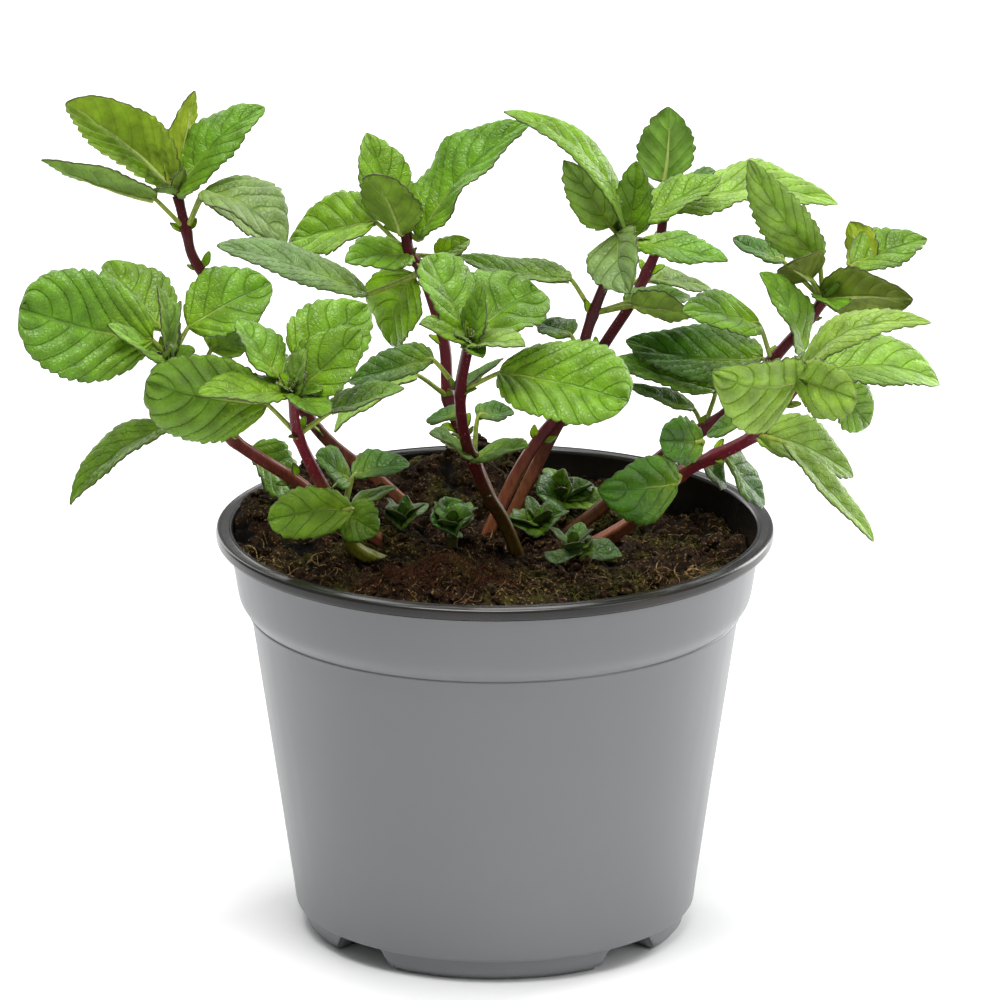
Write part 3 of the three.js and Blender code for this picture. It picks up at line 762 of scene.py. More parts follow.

# %% [markdown]
# The plant is the same table as in the CAD model. A stem lists the places that it passes from the
# peat up, in mm. Its leaves give the number of the place that they grow from, the stalk's reach (none
# if the leaf sits on the stem), the blade's reach, the blade's width, its roll about its midrib in
# degrees, how far it arches and how far its margin waves. A word for each stem then gives the tone
# of its leaves in turn: green, light, silvery, dark, yellow-green, purplish, or a deep green (k) that
# is painted shade on the leaves of low sprouts. A capital marks a leaf with a blunt, round tip.

# %% The plant's table
PLANT = {
    "leafy_stem_a": {
        "places": [(-15, 29, 86), (-27, 31, 98), (-41, 34, 109), (-55, 36, 129), (-70, 41, 148),
            (-73, 42, 157), (-75, 44, 165)],
        "tones": "ygygsl",
        "leaves": [
            (6, (-1, -1, 2), (-24, -7, 24), 18, 90, 0.08, 0),
            (6, None, (20, 2, 22), 16, -5, 0.08, 0.5),
            (6, None, (3, 8, 24), 10, -125, 0, 0),
            (5, (-7, -2, 8), (-26, -6, 13), 14, 60, -0.05, 0),
            (5, (4, -3, 10), (20, -11, -9), 20, -15, 0.12, 0),
            (5, (4, 1, 8), (14, 6, -12), 11, 0, 0, 0),
        ],
    },
    "leafy_stem_b": {
        "places": [(-19, 5, 86), (-37, 3, 99), (-47, 1, 108), (-61, -3, 119), (-70, -7, 132),
            (-75, -10, 140)],
        "tones": "GgglggGgll",
        "leaves": [
            (5, (-4, -3, 6), (-30, -4, 9), 26, -35, 0, 0),
            (5, (-2, 8, 5), (-13, 12, 14), 18, 10, 0, 0),
            (5, (4, 4, 7), (19, 6, 9), 18, 15, 0.04, 0.5),
            (5, None, (-14, -10, 12), 7, -10, 0, 0),
            (5, None, (6, -8, 5), 6, 25, 0, 0),
            (3, (-15, 4, 2), (-23, -4, -18), 13, 15, 0.08, 0),
            (3, (4, 10, -5), (9, 6, -12), 13, 25, 0, 0),
            (4, (4, 6, 8), (9, 6, 4), 14, 0, 0, 0),
            (5, None, (-2, 2, 18), 7, 45, 0, 0),
            (5, None, (2, 4, 14), 7, -50, 0, 0),
        ],
    },
    "leafy_stem_c": {
        "places": [(-22, -2, 86), (-33, -10, 95), (-35, -16, 105), (-39, -22, 112), (-45, -36, 130),
            (-46, -43, 142)],
        "tones": "ggglgGGgGgddg",
        "leaves": [
            (5, (1, 5, 6), (16, 10, 11), 19, 15, 0, 0.5),
            (5, (-3, 1, 3), (-9, 6, 13), 12, 20, 0, 0),
            (5, None, (-21, -13, 5), 12, 5, 0, 0),
            (5, None, (3, -4, 12), 8, 0, 0, 0),
            (5, None, (16, 2, 15), 15, 20, 0, 0),
            (5, None, (7, -13, -1), 10, -20, 0, 0),
            (4, (-7, -2, 8), (-27, -9, 8), 22, -75, 0.04, 0),
            (4, (7, 1, 5), (17, 2, 6), 12, -20, 0, 0),
            (2, (2, -6, 3), (-19, -8, 0), 12, -50, 0, 0),
            (2, (0, 0, 0), (8, -2, -4), 11, 35, 0, 0),
            (2, (1, 2, 7), (-7, -4, 8), 12, 0, 0, 0),
            (2, (2, 6, 7), (13, 4, 2), 13, -15, 0, 0),
            (2, (2, 4, 1), (10, 4, 3), 6, -20, 0, 0),
        ],
    },
    "leafy_stem_d": {
        "places": [(1, 33, 87), (-4, 24, 103), (-8, 18, 115), (-11, 18, 123), (-12, 20, 136), (-17, 23, 152),
            (-20, 24, 156), (-21, 25, 162)],
        "tones": "gggggyysl",
        "leaves": [
            (7, (-3, 5, 2), (-6, 8, 18), 13, 5, 0, 0),
            (7, (-1, -5, 0), (-6, -10, 18), 14, 65, 0, 0),
            (7, (3, 1, -3), (26, 2, 28), 21, -15, 0.08, 1),
            (6, (-8, 7, 6), (-21, 10, -7), 19, -10, 0, 0.5),
            (6, None, (-15, -11, 2), 12, -5, 0, 0),
            (6, (6, 3, -1), (8, 4, 3), 7, 0, 0, 0),
            (5, (-2, 3, -1), (-6, 4, -19), 18, 0, 0.04, 0),
            (5, (-13, -5, -4), (-34, -6, 15), 15, 10, 0.02, 0),
            (3, (-7, -9, 8), (-20, -6, -11), 13, 25, 0.05, 0),
        ],
    },
    "leafy_stem_e": {
        "places": [(6, 4, 86), (2, 0, 98), (-2, -6, 107), (-5, -14, 117), (-7, -20, 125), (-8, -28, 138),
            (-6, -36, 152)],
        "tones": "GGgglGdgddgg",
        "leaves": [
            (6, (0, 2, 0), (-9, 8, 18), 18, 25, 0.04, 0),
            (6, (0, 2, 0), (16, 10, 9), 22, 0, 0.04, 0.5),
            (6, None, (3, -4, 15), 8, -10, 0, 0),
            (6, None, (-11, -10, 8), 9, -5, 0, 0),
            (6, None, (13, -10, 3), 10, -10, 0, 0),
            (5, (9, -5, 6), (29, -14, -2), 24, 10, 0, 0),
            (5, (-6, 5, 6), (-20, 8, -7), 13, 0, 0, 0),
            (5, None, (10, 11, 5), 8, -40, 0, 0),
            (3, (-3, 3, 10), (-7, 6, -2), 10, 10, 0, 0),
            (3, (1, 5, 9), (8, 4, 1), 10, -15, 0, 0),
            (3, None, (-10, -9, 10), 10, 5, 0, 0),
            (3, None, (13, -7, 6), 11, -15, 0, 0),
        ],
    },
    "leafy_stem_f": {
        "places": [(-3, 16, 86), (4, 18, 102), (10, 19, 112), (16, 20, 120), (20, 22, 132), (23, 23, 142),
            (28, 23, 155), (30, 23, 160)],
        "tones": "glgsggggldd",
        "leaves": [
            (7, None, (-27, -3, 33), 17, 25, 0.16, 0),
            (7, (-3, -3, 4), (-11, -4, 17), 11, -60, 0.04, 0),
            (7, None, (3, -3, 20), 9, 20, 0, 0),
            (7, (-1, -5, 3), (2, -16, -10), 15, 40, 0.04, 0),
            (7, (3, -7, 1), (21, -8, -1), 11, -5, 0, 0),
            (7, (3, 3, 3), (20, 6, 10), 13, -10, 0, 0),
            (5, (-5, 4, 7), (-27, 8, 4), 13, 20, -0.05, 0),
            (5, (8, 6, 1), (15, 6, 0), 12, -15, 0, 0),
            (5, (9, -4, 3), (14, -8, 1), 12, -75, 0, 0),
            (3, None, (-9, 8, 3), 10, 25, 0, 0),
            (4, (-2, 6, 3), (-8, 6, 2), 10, 10, 0, 0),
        ],
    },
    "leafy_stem_g": {
        "places": [(2, 26, 86), (8, 29, 99), (15, 33, 112), (25, 40, 128), (32, 44, 138), (36, 48, 145),
            (39, 50, 152), (40, 52, 159)],
        "tones": "gllsl",
        "leaves": [
            (7, (0, 0, 7), (1, 2, 18), 14, -165, 0, 0),
            (7, None, (42, 4, 2), 17, -5, 0.08, 0.8),
            (5, (0, 4, -3), (16, 6, -4), 14, -20, 0, 0),
            (7, None, (12, -6, 12), 12, -5, 0, 0),
            (5, (-3, 1, -3), (-6, -1, 4), 9, -5, 0, 0),
        ],
    },
    "leafy_stem_h": {
        "places": [(15, 20, 86), (26, 20, 96), (39, 19, 108), (49, 19, 115), (56, 20, 120), (65, 21, 131),
            (74, 23, 141), (77, 24, 145)],
        "tones": "ldpgyggpgdgd",
        "leaves": [
            (7, (-1, 0, 10), (-17, -8, 26), 12, -70, 0.04, 0),
            (7, (-9, 4, 8), (-12, 4, 5), 9, 15, 0, 0),
            (7, None, (21, -12, 4), 16, -85, 0, 0),
            (7, (7, 8, 6), (18, 6, 5), 14, 0, 0, 0),
            (7, (10, 10, 5), (-3, 8, 9), 11, 125, 0, 0),
            (6, (-2, -6, -7), (-9, -4, 21), 14, 15, 0.08, 0),
            (7, None, (3, -14, 2), 9, -15, 0, 0),
            (7, (-3, -4, 6), (-6, -4, 5), 14, 75, 0, 0),
            (5, (-3, -5, 10), (-18, -10, 7), 14, -5, 0, 0),
            (5, (-2, 5, -1), (-32, 10, 2), 19, 0, -0.05, 0),
            (3, (3, 7, 7), (-24, 8, 6), 13, 10, 0, 0),
            (3, (-2, 5, 3), (-16, 4, 5), 10, 25, 0, 0),
        ],
    },
    "leafy_stem_i": {
        "places": [(19, 10, 86), (32, 0, 98), (43, -11, 113), (51, -16, 119), (60, -22, 126), (66, -24, 134),
            (70, -26, 140)],
        "tones": "lllLglldDddd",
        "leaves": [
            (6, None, (29, -6, 17), 12, -5, 0.2, 0),
            (6, (5, 6, 0), (28, 6, -3), 16, 5, 0.12, 0),
            (6, (-1, -4, 1), (-19, -12, 5), 22, -90, 0.08, 0),
            (6, (-1, -6, 2), (13, -12, -1), 14, 70, 0.04, 0),
            (6, (10, 12, -6), (7, 6, -10), 12, 45, 0, 0),
            (4, None, (24, 10, -13), 14, 15, 0.04, 0),
            (4, (6, -6, 0), (22, -6, -21), 9, -20, 0, 0),
            (4, (-3, 8, 0), (-8, 6, -4), 8, -5, 0, 0),
            (2, (5, -8, 10), (-10, -8, 3), 11, -50, 0, 0),
            (2, (-1, -10, 1), (-18, -12, 2), 17, -75, 0.04, 0),
            (3, (-3, 5, -3), (6, 4, -7), 9, 10, 0, 0),
            (3, (2, 3, -1), (10, 8, -14), 14, 5, 0, 0),
        ],
    },
    "sprout_1": {
        "places": [(-10, 4, 86), (-10, 4, 95)],
        "tones": "ddd",
        "leaves": [
            (1, None, (-2, 4, 7), 12, 35, 0, 0),
            (1, None, (5, -4, 5), 10, 10, 0, 0),
            (1, None, (-5, -6, 3), 10, -10, 0, 0),
        ],
    },
    "sprout_2": {
        "places": [(-23, 12, 86), (-22, 12, 94)],
        "tones": "kkk",
        "leaves": [
            (1, None, (-4, -4, 4), 8, -15, 0, 0),
            (1, None, (4, -4, 3), 8, 15, 0, 0),
            (1, None, (0, 2, 5), 6, 45, 0, 0),
        ],
    },
    "sprout_3": {
        "places": [(16, 32, 85), (16, 32, 93)],
        "tones": "ddggg",
        "leaves": [
            (1, None, (-6, -9, 5), 12, -25, 0, 0),
            (1, None, (7, 4, 4), 12, -20, 0, 0),
            (1, None, (-3, 9, 6), 11, 35, 0, 0),
            (1, None, (11, -4, 1), 11, -10, 0, 0),
            (1, None, (0, 2, 8), 9, -50, 0, 0),
        ],
    },
    "sprout_4": {
        "places": [(18, -4, 84), (18, -4, 92)],
        "tones": "kkk",
        "leaves": [
            (1, None, (-4, -8, -1), 9, 20, 0, 0),
            (1, None, (4, 4, 3), 9, -25, 0, 0),
            (1, None, (12, -4, 0), 10, -10, 0, 0),
        ],
    },
    "sprout_5": {
        "places": [(10, 14, 84), (10, 14, 92)],
        "tones": "kkk",
        "leaves": [
            (1, None, (-7, -6, 3), 10, -5, 0, 0),
            (1, None, (6, -2, 5), 10, 0, 0, 0),
            (1, None, (-1, 4, 4), 9, 45, 0, 0),
        ],
    },
}
print("leaves in the table:", sum(len(stem["leaves"]) for stem in PLANT.values()))

# %% [markdown]
# A mint leaf is an egg-shaped sheet, broad near its stalk and folded a little along its midrib. Four
# to seven veins on each side sweep forward to the margin, and between them the blade swells up like a
# quilt and bulges at the margin. The margin is a row of small teeth that point to the tip. Here one
# blade is a flat grid whose points are moved by that rule: across the grid is across the leaf, and up
# the grid is from stalk to tip. Four rows of the grid make one tooth, so that every tooth is cut the
# same way. The tip of a leaf hangs a little, some more than others.

# %% The leaf's shape
BLADE_FOLD = 0.26
# The fold has a rounded crease, and this is how far the crease lets it rise at the margin
CREASE, CREASE_RISE = 0.1, 0.905
ROOT_CURVE = 0.55
TIP_CURVE = 0.75
BLUNT_TIP_CURVE = 0.45
LEAST_HALF = 0.22
TOWARDS_LIGHT = Vector((0, -0.45, 0.9))
TOOTH_SPACING = 2.3
TOOTH_DEPTH = 0.5
TOOTH_ROWS = [0.0, 0.5, 0.85, 1.0]
VEIN_SPACING = 5.0
VEIN_SWEEP = 0.5
QUILT = 0.06
LOBE_DEPTH = 0.4
PUCKER = 0.5
PUCKER_LENGTH = 4


class Blade:
    """One leaf blade: where its points go and what its veins do there."""

    def __init__(self, base, reach, width, roll, arch, wave, blunt, draw):
        self.base, self.reach, self.width, self.arch, self.wave = base, reach, width, arch, wave
        self.tip_curve = BLUNT_TIP_CURVE if blunt else TIP_CURVE + draw.uniform(-0.12, 0.08)
        self.length = reach.length
        self.along = reach.normalized()
        up = TOWARDS_LIGHT - self.along * TOWARDS_LIGHT.dot(self.along)
        up.normalize()
        self.up = Matrix.Rotation(math.radians(roll), 3, self.along) @ up
        self.side = self.along.cross(self.up)
        self.teeth = max(5, round(self.length / TOOTH_SPACING))
        self.rows = len(TOOTH_ROWS) * self.teeth
        self.veins = min(7, max(4, round(self.length / VEIN_SPACING)))
        self.ripple_phase = draw.uniform(0, math.tau)
        self.ripple = draw.uniform(0.3, 0.9) * min(1, width / 14)
        self.lean = draw.uniform(-0.05, 0.05)
        self.droop = draw.uniform(-0.01, 0.07)
        self.curl = draw.uniform(-0.14, 0.08)
        self.own_place = draw.uniform(0, 50)

    def half(self, share):
        """Half the width at a share of the length, without teeth, in mm."""
        widest = ROOT_CURVE / (ROOT_CURVE + self.tip_curve)
        full = widest**ROOT_CURVE * (1 - widest) ** self.tip_curve
        return max(self.width / 2 * share**ROOT_CURVE * (1 - share) ** self.tip_curve / full, LEAST_HALF)

    def phase(self, share, across):
        """A number that is whole on each side vein. The two sides differ a little."""
        shift = noise.noise(Vector((share * 2.5, across * 1.5, self.own_place)))
        swept = share - VEIN_SWEEP * abs(across) ** 1.35 * (1 - 0.4 * share)
        return self.veins * swept + 0.3 + 0.35 * shift

    def outward(self, row, share, half, between, across):
        """How far a point lies from the midrib, with the margin's teeth and lobes, in mm."""
        # Teeth and lobes are shallower where the leaf is narrow
        tooth = TOOTH_ROWS[row % len(TOOTH_ROWS)] - 0.5
        uneven = 1 + 1.2 * noise.noise(Vector((share * self.teeth / 3, across, self.own_place)))
        bite = TOOTH_DEPTH * uneven * tooth * min(1, half / 2.5) * min(1, self.width / 12)
        lobe = LOBE_DEPTH * (between - 0.6) * min(1, half / 4) * min(1, self.width / 14)
        return (half + (bite + lobe) * abs(across) ** 5) * across

    def rise(self, share, half, between, across, out):
        """How far a point lies above the leaf's plane: its fold, waves, quilting and puckers, in mm."""
        crease = (math.hypot(across, CREASE) - CREASE) / CREASE_RISE
        fold = BLADE_FOLD * half * crease + self.curl * half * across**4
        swing = self.ripple_phase + (1.3 if across > 0 else 0)
        waving = self.wave * abs(across) * math.sin(5 * math.pi * share + 0.8 * across)
        rippling = self.ripple * across**2 * math.sin(3.2 * math.pi * share + swing)
        wave = (waving + rippling) * 2 * half / self.width
        open_field = 1 - math.exp(-((across / 0.16) ** 2))
        quilt = QUILT * self.width * between**0.8 * open_field * (1 - across**4) * min(1, half / 3)
        pucker = noise.noise(Vector((out, share * self.length, self.own_place)) / PUCKER_LENGTH)
        return fold + wave + quilt + PUCKER * pucker * (1 - across**2)

    def place(self, row, across):
        """The place of a grid point in mm, and how far it lies from the margin."""
        share = row / self.rows
        half = self.half(share)
        between = abs(math.sin(math.pi * self.phase(share, across)))
        out = self.outward(row, share, half, between, across)
        rib = self.base + self.reach * share + self.up * self.arch * self.length * 4 * share * (1 - share)
        rib += self.side * self.lean * self.length * math.sin(math.pi * share)
        rib -= self.up * self.droop * self.length * share**3
        margin = min(half * (1 - abs(across)), (1 - share) * self.length)
        return rib + self.side * out + self.up * self.rise(share, half, between, across, out), margin


# %% [markdown]
# The colour of a leaf depends on its age: young blades at the tips of the stems are pale and downy,
# older ones deep green, and some undersides are flushed with purple. Each blade therefore carries
# its own two tones, one for each side, as colour attributes on its points, varied a little by a
# seeded draw and fresher green towards the stalk. The vein map and the map in real millimetres are
# stored as UV maps.

# %% The leaf's tones
# The upper side and the underside of each tone. The underside is paler, as a mint leaf's is, and
# lighter still as painted light on a side that faces away from the lamps
TONES = {
    "g": ("#709c1e", "#84a83a"),
    "l": ("#8cb238", "#9cba52"),
    "s": ("#74964c", "#94ac5c"),
    "d": ("#46740a", "#648628"),
    "y": ("#90bc08", "#a8c030"),
    "p": ("#6c8414", "#7f8f2e"),
    # k is a darker copy of green: painted shade for the leaves of the low sprouts
    "k": ("#3f6008", "#567018"),
}
YOUNG_GREEN = "#86a808"
DOWNY_TONES = "sl"
# The young leaves' own materials follow the three of a grown leaf in each piece's list
DOWNY_SIDE = 3
COLUMN_WIDTH = 1.9


def varied(code, draw):
    """A tone a little lighter or darker, and a little warmer or cooler, than its hex value."""
    light = draw.uniform(0.86, 1.14)
    warm = draw.uniform(0.9, 1.1)
    red, green, blue, alpha = linear(code)
    return (red * light * warm, green * light, blue * light / warm, alpha)


class LeafSheet:
    """A growing mesh of blades with its colour attributes and UV maps."""

    def __init__(self):
        self.bm = bmesh.new()
        self.upper = self.bm.verts.layers.float_color.new("upper_tone")
        self.under = self.bm.verts.layers.float_color.new("under_tone")
        self.margin = self.bm.verts.layers.float.new("margin")
        self.from_stalk = self.bm.verts.layers.float.new("from_stalk")
        self.vein_map = self.bm.loops.layers.uv.new("veins")
        self.flat_map = self.bm.loops.layers.uv.new("millimetres")

    def add_blade(self, blade, tone, draw):
        """Adds one blade as a grid moved into the leaf's shape."""
        columns = 2 * max(5, round(blade.width / COLUMN_WIDTH))
        made = bmesh.ops.create_grid(self.bm, x_segments=columns, y_segments=blade.rows, size=1)["verts"]
        tone = tone.lower()
        upper, under = (varied(code, draw) for code in TONES[tone])
        young = Vector(linear(YOUNG_GREEN))
        spots = {}
        for vert in made:
            across = vert.co.x
            row = round((vert.co.y + 1) / 2 * blade.rows)
            share = row / blade.rows
            place, margin = blade.place(row, across)
            spots[vert] = (share, across)
            vert.co = place * MM
            fresh = 0.55 * (1 - smooth_step(0, 0.6, share)) * (1 - abs(across) / 2)
            vert[self.upper] = Vector(upper).lerp(young, fresh)
            vert[self.under], vert[self.margin], vert[self.from_stalk] = under, margin, share
        for face in {face for vert in made for face in vert.link_faces}:
            face.material_index = DOWNY_SIDE if tone in DOWNY_TONES else 0
            for loop in face.loops:
                share, across = spots[loop.vert]
                loop[self.vein_map].uv = (blade.phase(share, across), across)
                # Each leaf's map is moved by its own lean, so that no two show the same patches
                flat_across = across * blade.half(share) + 100 * blade.lean
                loop[self.flat_map].uv = (flat_across, share * blade.length)


# %% [markdown]
# Living leaf is a thin wet sheet with a waxy skin. The skin gives soft highlights on every swelling
# between the veins, and light from behind comes through yellow-green, which a share of Translucent
# shader makes. The veins are sunk, and the shade in them is painted as darker lines; only near the
# stalk are they pale. A fine net of smaller veins covers the fields between, with the same painted
# shade. The very edge is a thin brown-green line. A young leaf is covered with down, which frosts the
# crowns of the swellings with a pale colour that is partly a painted sheen, and shines at a low angle,
# like velvet.

# %% The leaf's materials
FROST_AND_PAINTED_SHEEN = "#a8b894"
PALE_RIB = "#a9c255"
EDGE_LINE = "#33401a"
GLOW_TINT = (1.5, 1.4, 0.35)
SMOOTH = {"interpolation_type": "SMOOTHSTEP"}


def leaf_material(name, tone, vein_shade_strength, vein_shade_code, roughness, through, net_bump, down=0.0):
    """One side of a mint leaf, coloured from the tone attribute and patterned along its veins."""
    finish = [("IOR", 1.45), ("Roughness", roughness), ("Specular IOR Level", 0.5)]
    material, tree, shader = new_material(name, [*finish, ("Sheen Weight", 0.05 + 0.4 * down)])
    own_tone, from_stalk, margin = (
        add(tree, "Attribute", attribute_name=stored) for stored in (tone, "from_stalk", "margin")
    )
    veins, flat = (add(tree, "UVMap", uv_map=stored) for stored in ("veins", "millimetres"))
    split = add(tree, "SeparateXYZ", [(0, veins)])
    # A vein runs where the phase is whole: there the fraction is farthest from a half
    fraction = add(tree, "Math", [(0, split.outputs["X"])], operation="FRACT")
    centred = add(tree, "Math", [(0, fraction), (1, 0.5)], operation="SUBTRACT")
    nearness = add(tree, "Math", [(0, centred)], operation="ABSOLUTE")
    side_vein = add(tree, "MapRange", [("Value", nearness), ("From Min", 0.42), ("From Max", 0.5)], **SMOOTH)
    # The crowns between the veins are frosted pale: the down's own colour and a painted sheen
    crown_frost_and_sheen = add(
        tree,
        "MapRange",
        [("Value", nearness), ("From Min", 0.42), ("From Max", 0.1), ("To Max", down)],
        **SMOOTH,
    )
    off_rib = add(tree, "Math", [(0, split.outputs["Y"])], operation="ABSOLUTE")
    midrib = add(tree, "MapRange", [("Value", off_rib), ("From Min", 0.06), ("From Max", 0.01)], **SMOOTH)
    # Near the stalk the veins are as pale as the stalk itself
    near_stalk = add(
        tree,
        "MapRange",
        [("Value", from_stalk.outputs["Fac"]), ("From Min", 0.6), ("From Max", 0.1), ("To Max", 0.8)],
        **SMOOTH,
    )
    # The net's meshes are about 1.1 mm across
    net = add(
        tree,
        "TexVoronoi",
        [("Vector", flat), ("Scale", 1 / 1.1)],
        feature="DISTANCE_TO_EDGE",
        voronoi_dimensions="2D",
    )
    net_line = add(
        tree, "MapRange", [("Value", net), ("From Min", 0.16), ("From Max", 0.0), ("To Max", 0.25)]
    )
    # Blotches about 4.5 mm across, and wrinkles about 1.8 mm long over the fields between the veins
    blotches, wrinkles = (
        add(tree, "TexNoise", [("Vector", flat), ("Scale", scale), ("Detail", fine)], noise_dimensions="2D")
        for scale, fine in [(0.22, 4.0), (1 / 1.8, 2.0)]
    )
    lightness = add(
        tree,
        "MapRange",
        [("Value", blotches), ("From Min", 0.3), ("From Max", 0.7), ("To Min", 0.78), ("To Max", 1.22)],
    )
    toned = add(tree, "VectorMath", [(0, own_tone), ("Scale", lightness)], operation="SCALE")
    dark = add(tree, "VectorMath", [(0, toned), (1, linear(vein_shade_code)[:3])], operation="MULTIPLY")
    veins_both = add(tree, "Math", [(0, side_vein), (1, midrib)], operation="MAXIMUM")
    lines = add(tree, "Math", [(0, veins_both), (1, net_line)], operation="MAXIMUM")
    # The darker lines along the veins and the net are painted shade of their sunken grooves
    vein_shade_share = add(tree, "Math", [(0, lines), (1, vein_shade_strength)], operation="MULTIPLY")
    rib_share = add(tree, "Math", [(0, midrib), (1, near_stalk)], operation="MULTIPLY")
    edge = add(
        tree,
        "MapRange",
        [("Value", margin.outputs["Fac"]), ("From Min", 0.35), ("From Max", 0.05), ("To Max", 0.5)],
    )
    # Frosted crowns with a painted sheen, painted shade along the veins, a pale rib and the edge's line
    # lie over the blade's own tone
    frost_and_sheen, pale, line = (linear(code) for code in (FROST_AND_PAINTED_SHEEN, PALE_RIB, EDGE_LINE))
    colour = toned
    for share, over in [(crown_frost_and_sheen, frost_and_sheen), (vein_shade_share, dark), (rib_share, pale), (edge, line)]:
        colour = add(tree, "Mix", [("Factor", share), (COLOUR_A, colour), (COLOUR_B, over)], **COLOURS)
    height = add(tree, "Math", [(0, wrinkles), (1, lines)], operation="SUBTRACT")
    bump = add(tree, "Bump", [("Height", height), ("Strength", 0.7), ("Distance", net_bump * MM)])
    glow_colour = add(tree, "VectorMath", [(0, colour), (1, GLOW_TINT)], operation="MULTIPLY")
    glow = add(tree, "BsdfTranslucent", [("Color", glow_colour)])
    both = add(tree, "MixShader", [(0, through), (1, shader), (2, glow)])
    join(shader, [("Base Color", colour), ("Normal", bump)])
    join(tree.nodes["Material Output"], [("Surface", both)])
    return material


leaf_upper = leaf_material("mint_leaf_upper_side", "upper_tone", 0.34, "#8a9868", 0.37, 0.2, 0.4)
leaf_downy = leaf_material("young_downy_mint_leaf", "upper_tone", 0.36, "#8a9868", 0.4, 0.2, 0.4, 0.1)
leaf_under = leaf_material("mint_leaf_underside", "under_tone", 0.35, "#c8c0a0", 0.6, 0.28, -0.2)

margin_tones = ("#35271a", "#55602a")
leaf_edge = two_toned("mint_leaf_margin", [("Roughness", 0.55), ("IOR", 1.42)], 2, margin_tones)

# %% [markdown]
# A mint stem is square, with rounded corners and shallow grooves on its sides, and it swells where a
# pair of leaves joins it. It is salmon to olive near the peat and dark purple above. The stalks of
# the leaves are yellow-green and thinner. Both are tubes: a grid rolled round a smooth route through
# the table's places.

# %% Routes and stems
STEM_SIZE_LOW = 3.2
STEM_SIZE_HIGH = 2.3
STALK_SIZE = 1.3
ROOTED = 8
STEM_SIDES = 20
STALK_SIDES = 10
STEM_STEP = 1.3
KNOT_REACH = 1.7
KNOT_SWELL = 0.22
# Between these heights above its foot a stem's colour turns from the lower one to the upper one
TURNS_FROM, TURNS_TO = 14, 42
STEM_COLOURS = {
    "leafy_stem_a": ("#7b4a31", "#451018"),
    "leafy_stem_b": ("#774530", "#5c2420"),
    "leafy_stem_c": ("#7d8228", "#5a1822"),
    "leafy_stem_d": ("#74492a", "#50121c"),
    "leafy_stem_e": ("#574419", "#48121a"),
    "leafy_stem_f": ("#7d4a30", "#450f1a"),
    "leafy_stem_g": ("#77462c", "#450f1a"),
    "leafy_stem_h": ("#4f321f", "#4e121c"),
    "leafy_stem_i": ("#824c34", "#5c1622"),
}
SPROUT_COLOURS = ("#4c4a22", "#56742a")


def smooth_route(points, spacing):
    """A Catmull-Rom curve through the points, as places an even spacing apart."""
    ends = [points[0] * 2 - points[1], *points, points[-1] * 2 - points[-2]]
    fine = []
    for before, start, end, after in zip(ends, ends[1:], ends[2:], ends[3:]):
        for step in range(16):
            t = step / 16
            bend = (end - before) * t + (before * 2 - start * 5 + end * 4 - after) * t**2
            bend += (start * 3 - end * 3 + after - before) * t**3
            fine.append(start + bend / 2)
    fine.append(points[-1])
    total = sum((b - a).length for a, b in zip(fine, fine[1:]))
    count = max(2, round(total / spacing))
    route, walked, i = [fine[0]], 0.0, 0
    for number in range(1, count):
        goal = total * number / count
        while walked + (fine[i + 1] - fine[i]).length < goal:
            walked += (fine[i + 1] - fine[i]).length
            i += 1
        part = (goal - walked) / (fine[i + 1] - fine[i]).length
        route.append(fine[i].lerp(fine[i + 1], part))
    return [*route, fine[-1]]


def square_section(angle):
    """A rounded square with grooved sides: its radius for half a side of 1."""
    square = 1 / (abs(math.cos(angle)) ** 5 + abs(math.sin(angle)) ** 5) ** 0.2
    return square * (1 - 0.05 * math.cos(2 * angle) ** 8)


def add_stem(bm, colour_layer, places, knots, colours):
    """A square stem through the places, swollen where leaves join it. Gives back its route."""
    foot = places[0] - Vector((0, 0, ROOTED))
    route = smooth_route([foot, *places], STEM_STEP)
    low, high = (Vector(linear(code)) for code in colours)

    def section(share, angle):
        place = route[round(share * (len(route) - 1))]
        size = STEM_SIZE_LOW + (STEM_SIZE_HIGH - STEM_SIZE_LOW) * share
        swell = sum(math.exp(-(((place - knot).length / KNOT_REACH) ** 2)) for knot in knots)
        return size / 2 * (1 + KNOT_SWELL * min(1, swell)) * square_section(angle) * MM

    def paint(vert, share, angle):
        place = route[round(share * (len(route) - 1))]
        upper = smooth_step(foot.z + TURNS_FROM, foot.z + TURNS_TO, place.z)
        vert[colour_layer] = low.lerp(high, upper)

    add_tube(bm, [place * MM for place in route], STEM_SIDES, section, paint)
    return route


# %% [markdown]
# Stem skin is smooth and slightly glossy, with fine lengthwise streaks where the purple pigment is
# stronger. It lets little light through, so a plain Principled shader with a streaky colour is enough.

# %% The stem's material
stem_finish = [("Roughness", 0.36), ("IOR", 1.45), ("Specular IOR Level", 0.3)]
stem_skin, stem_tree, stem_shader = new_material("mint_stem_skin", stem_finish)
stem_tone = add(stem_tree, "Attribute", attribute_name="stem_tone")
stem_place = add(stem_tree, "TexCoord").outputs["Object"]
stem_long = add(stem_tree, "Mapping", [("Vector", stem_place), ("Scale", (1, 1, 0.25))])
# Streaks about 0.8 mm wide
streak_scale = 1 / (0.8 * MM)
streaks = add(stem_tree, "TexNoise", [("Vector", stem_long), ("Scale", streak_scale), ("Detail", 4.0)])
streak_light = add(
    stem_tree,
    "MapRange",
    [("Value", streaks), ("From Min", 0.3), ("From Max", 0.7), ("To Min", 0.7), ("To Max", 1.35)],
)
streaked = add(stem_tree, "VectorMath", [(0, stem_tone), ("Scale", streak_light)], operation="SCALE")
stem_bump = add(stem_tree, "Bump", [("Height", streaks), ("Strength", 0.3), ("Distance", 0.1 * MM)])
join(stem_shader, [("Base Color", streaked), ("Normal", stem_bump)])

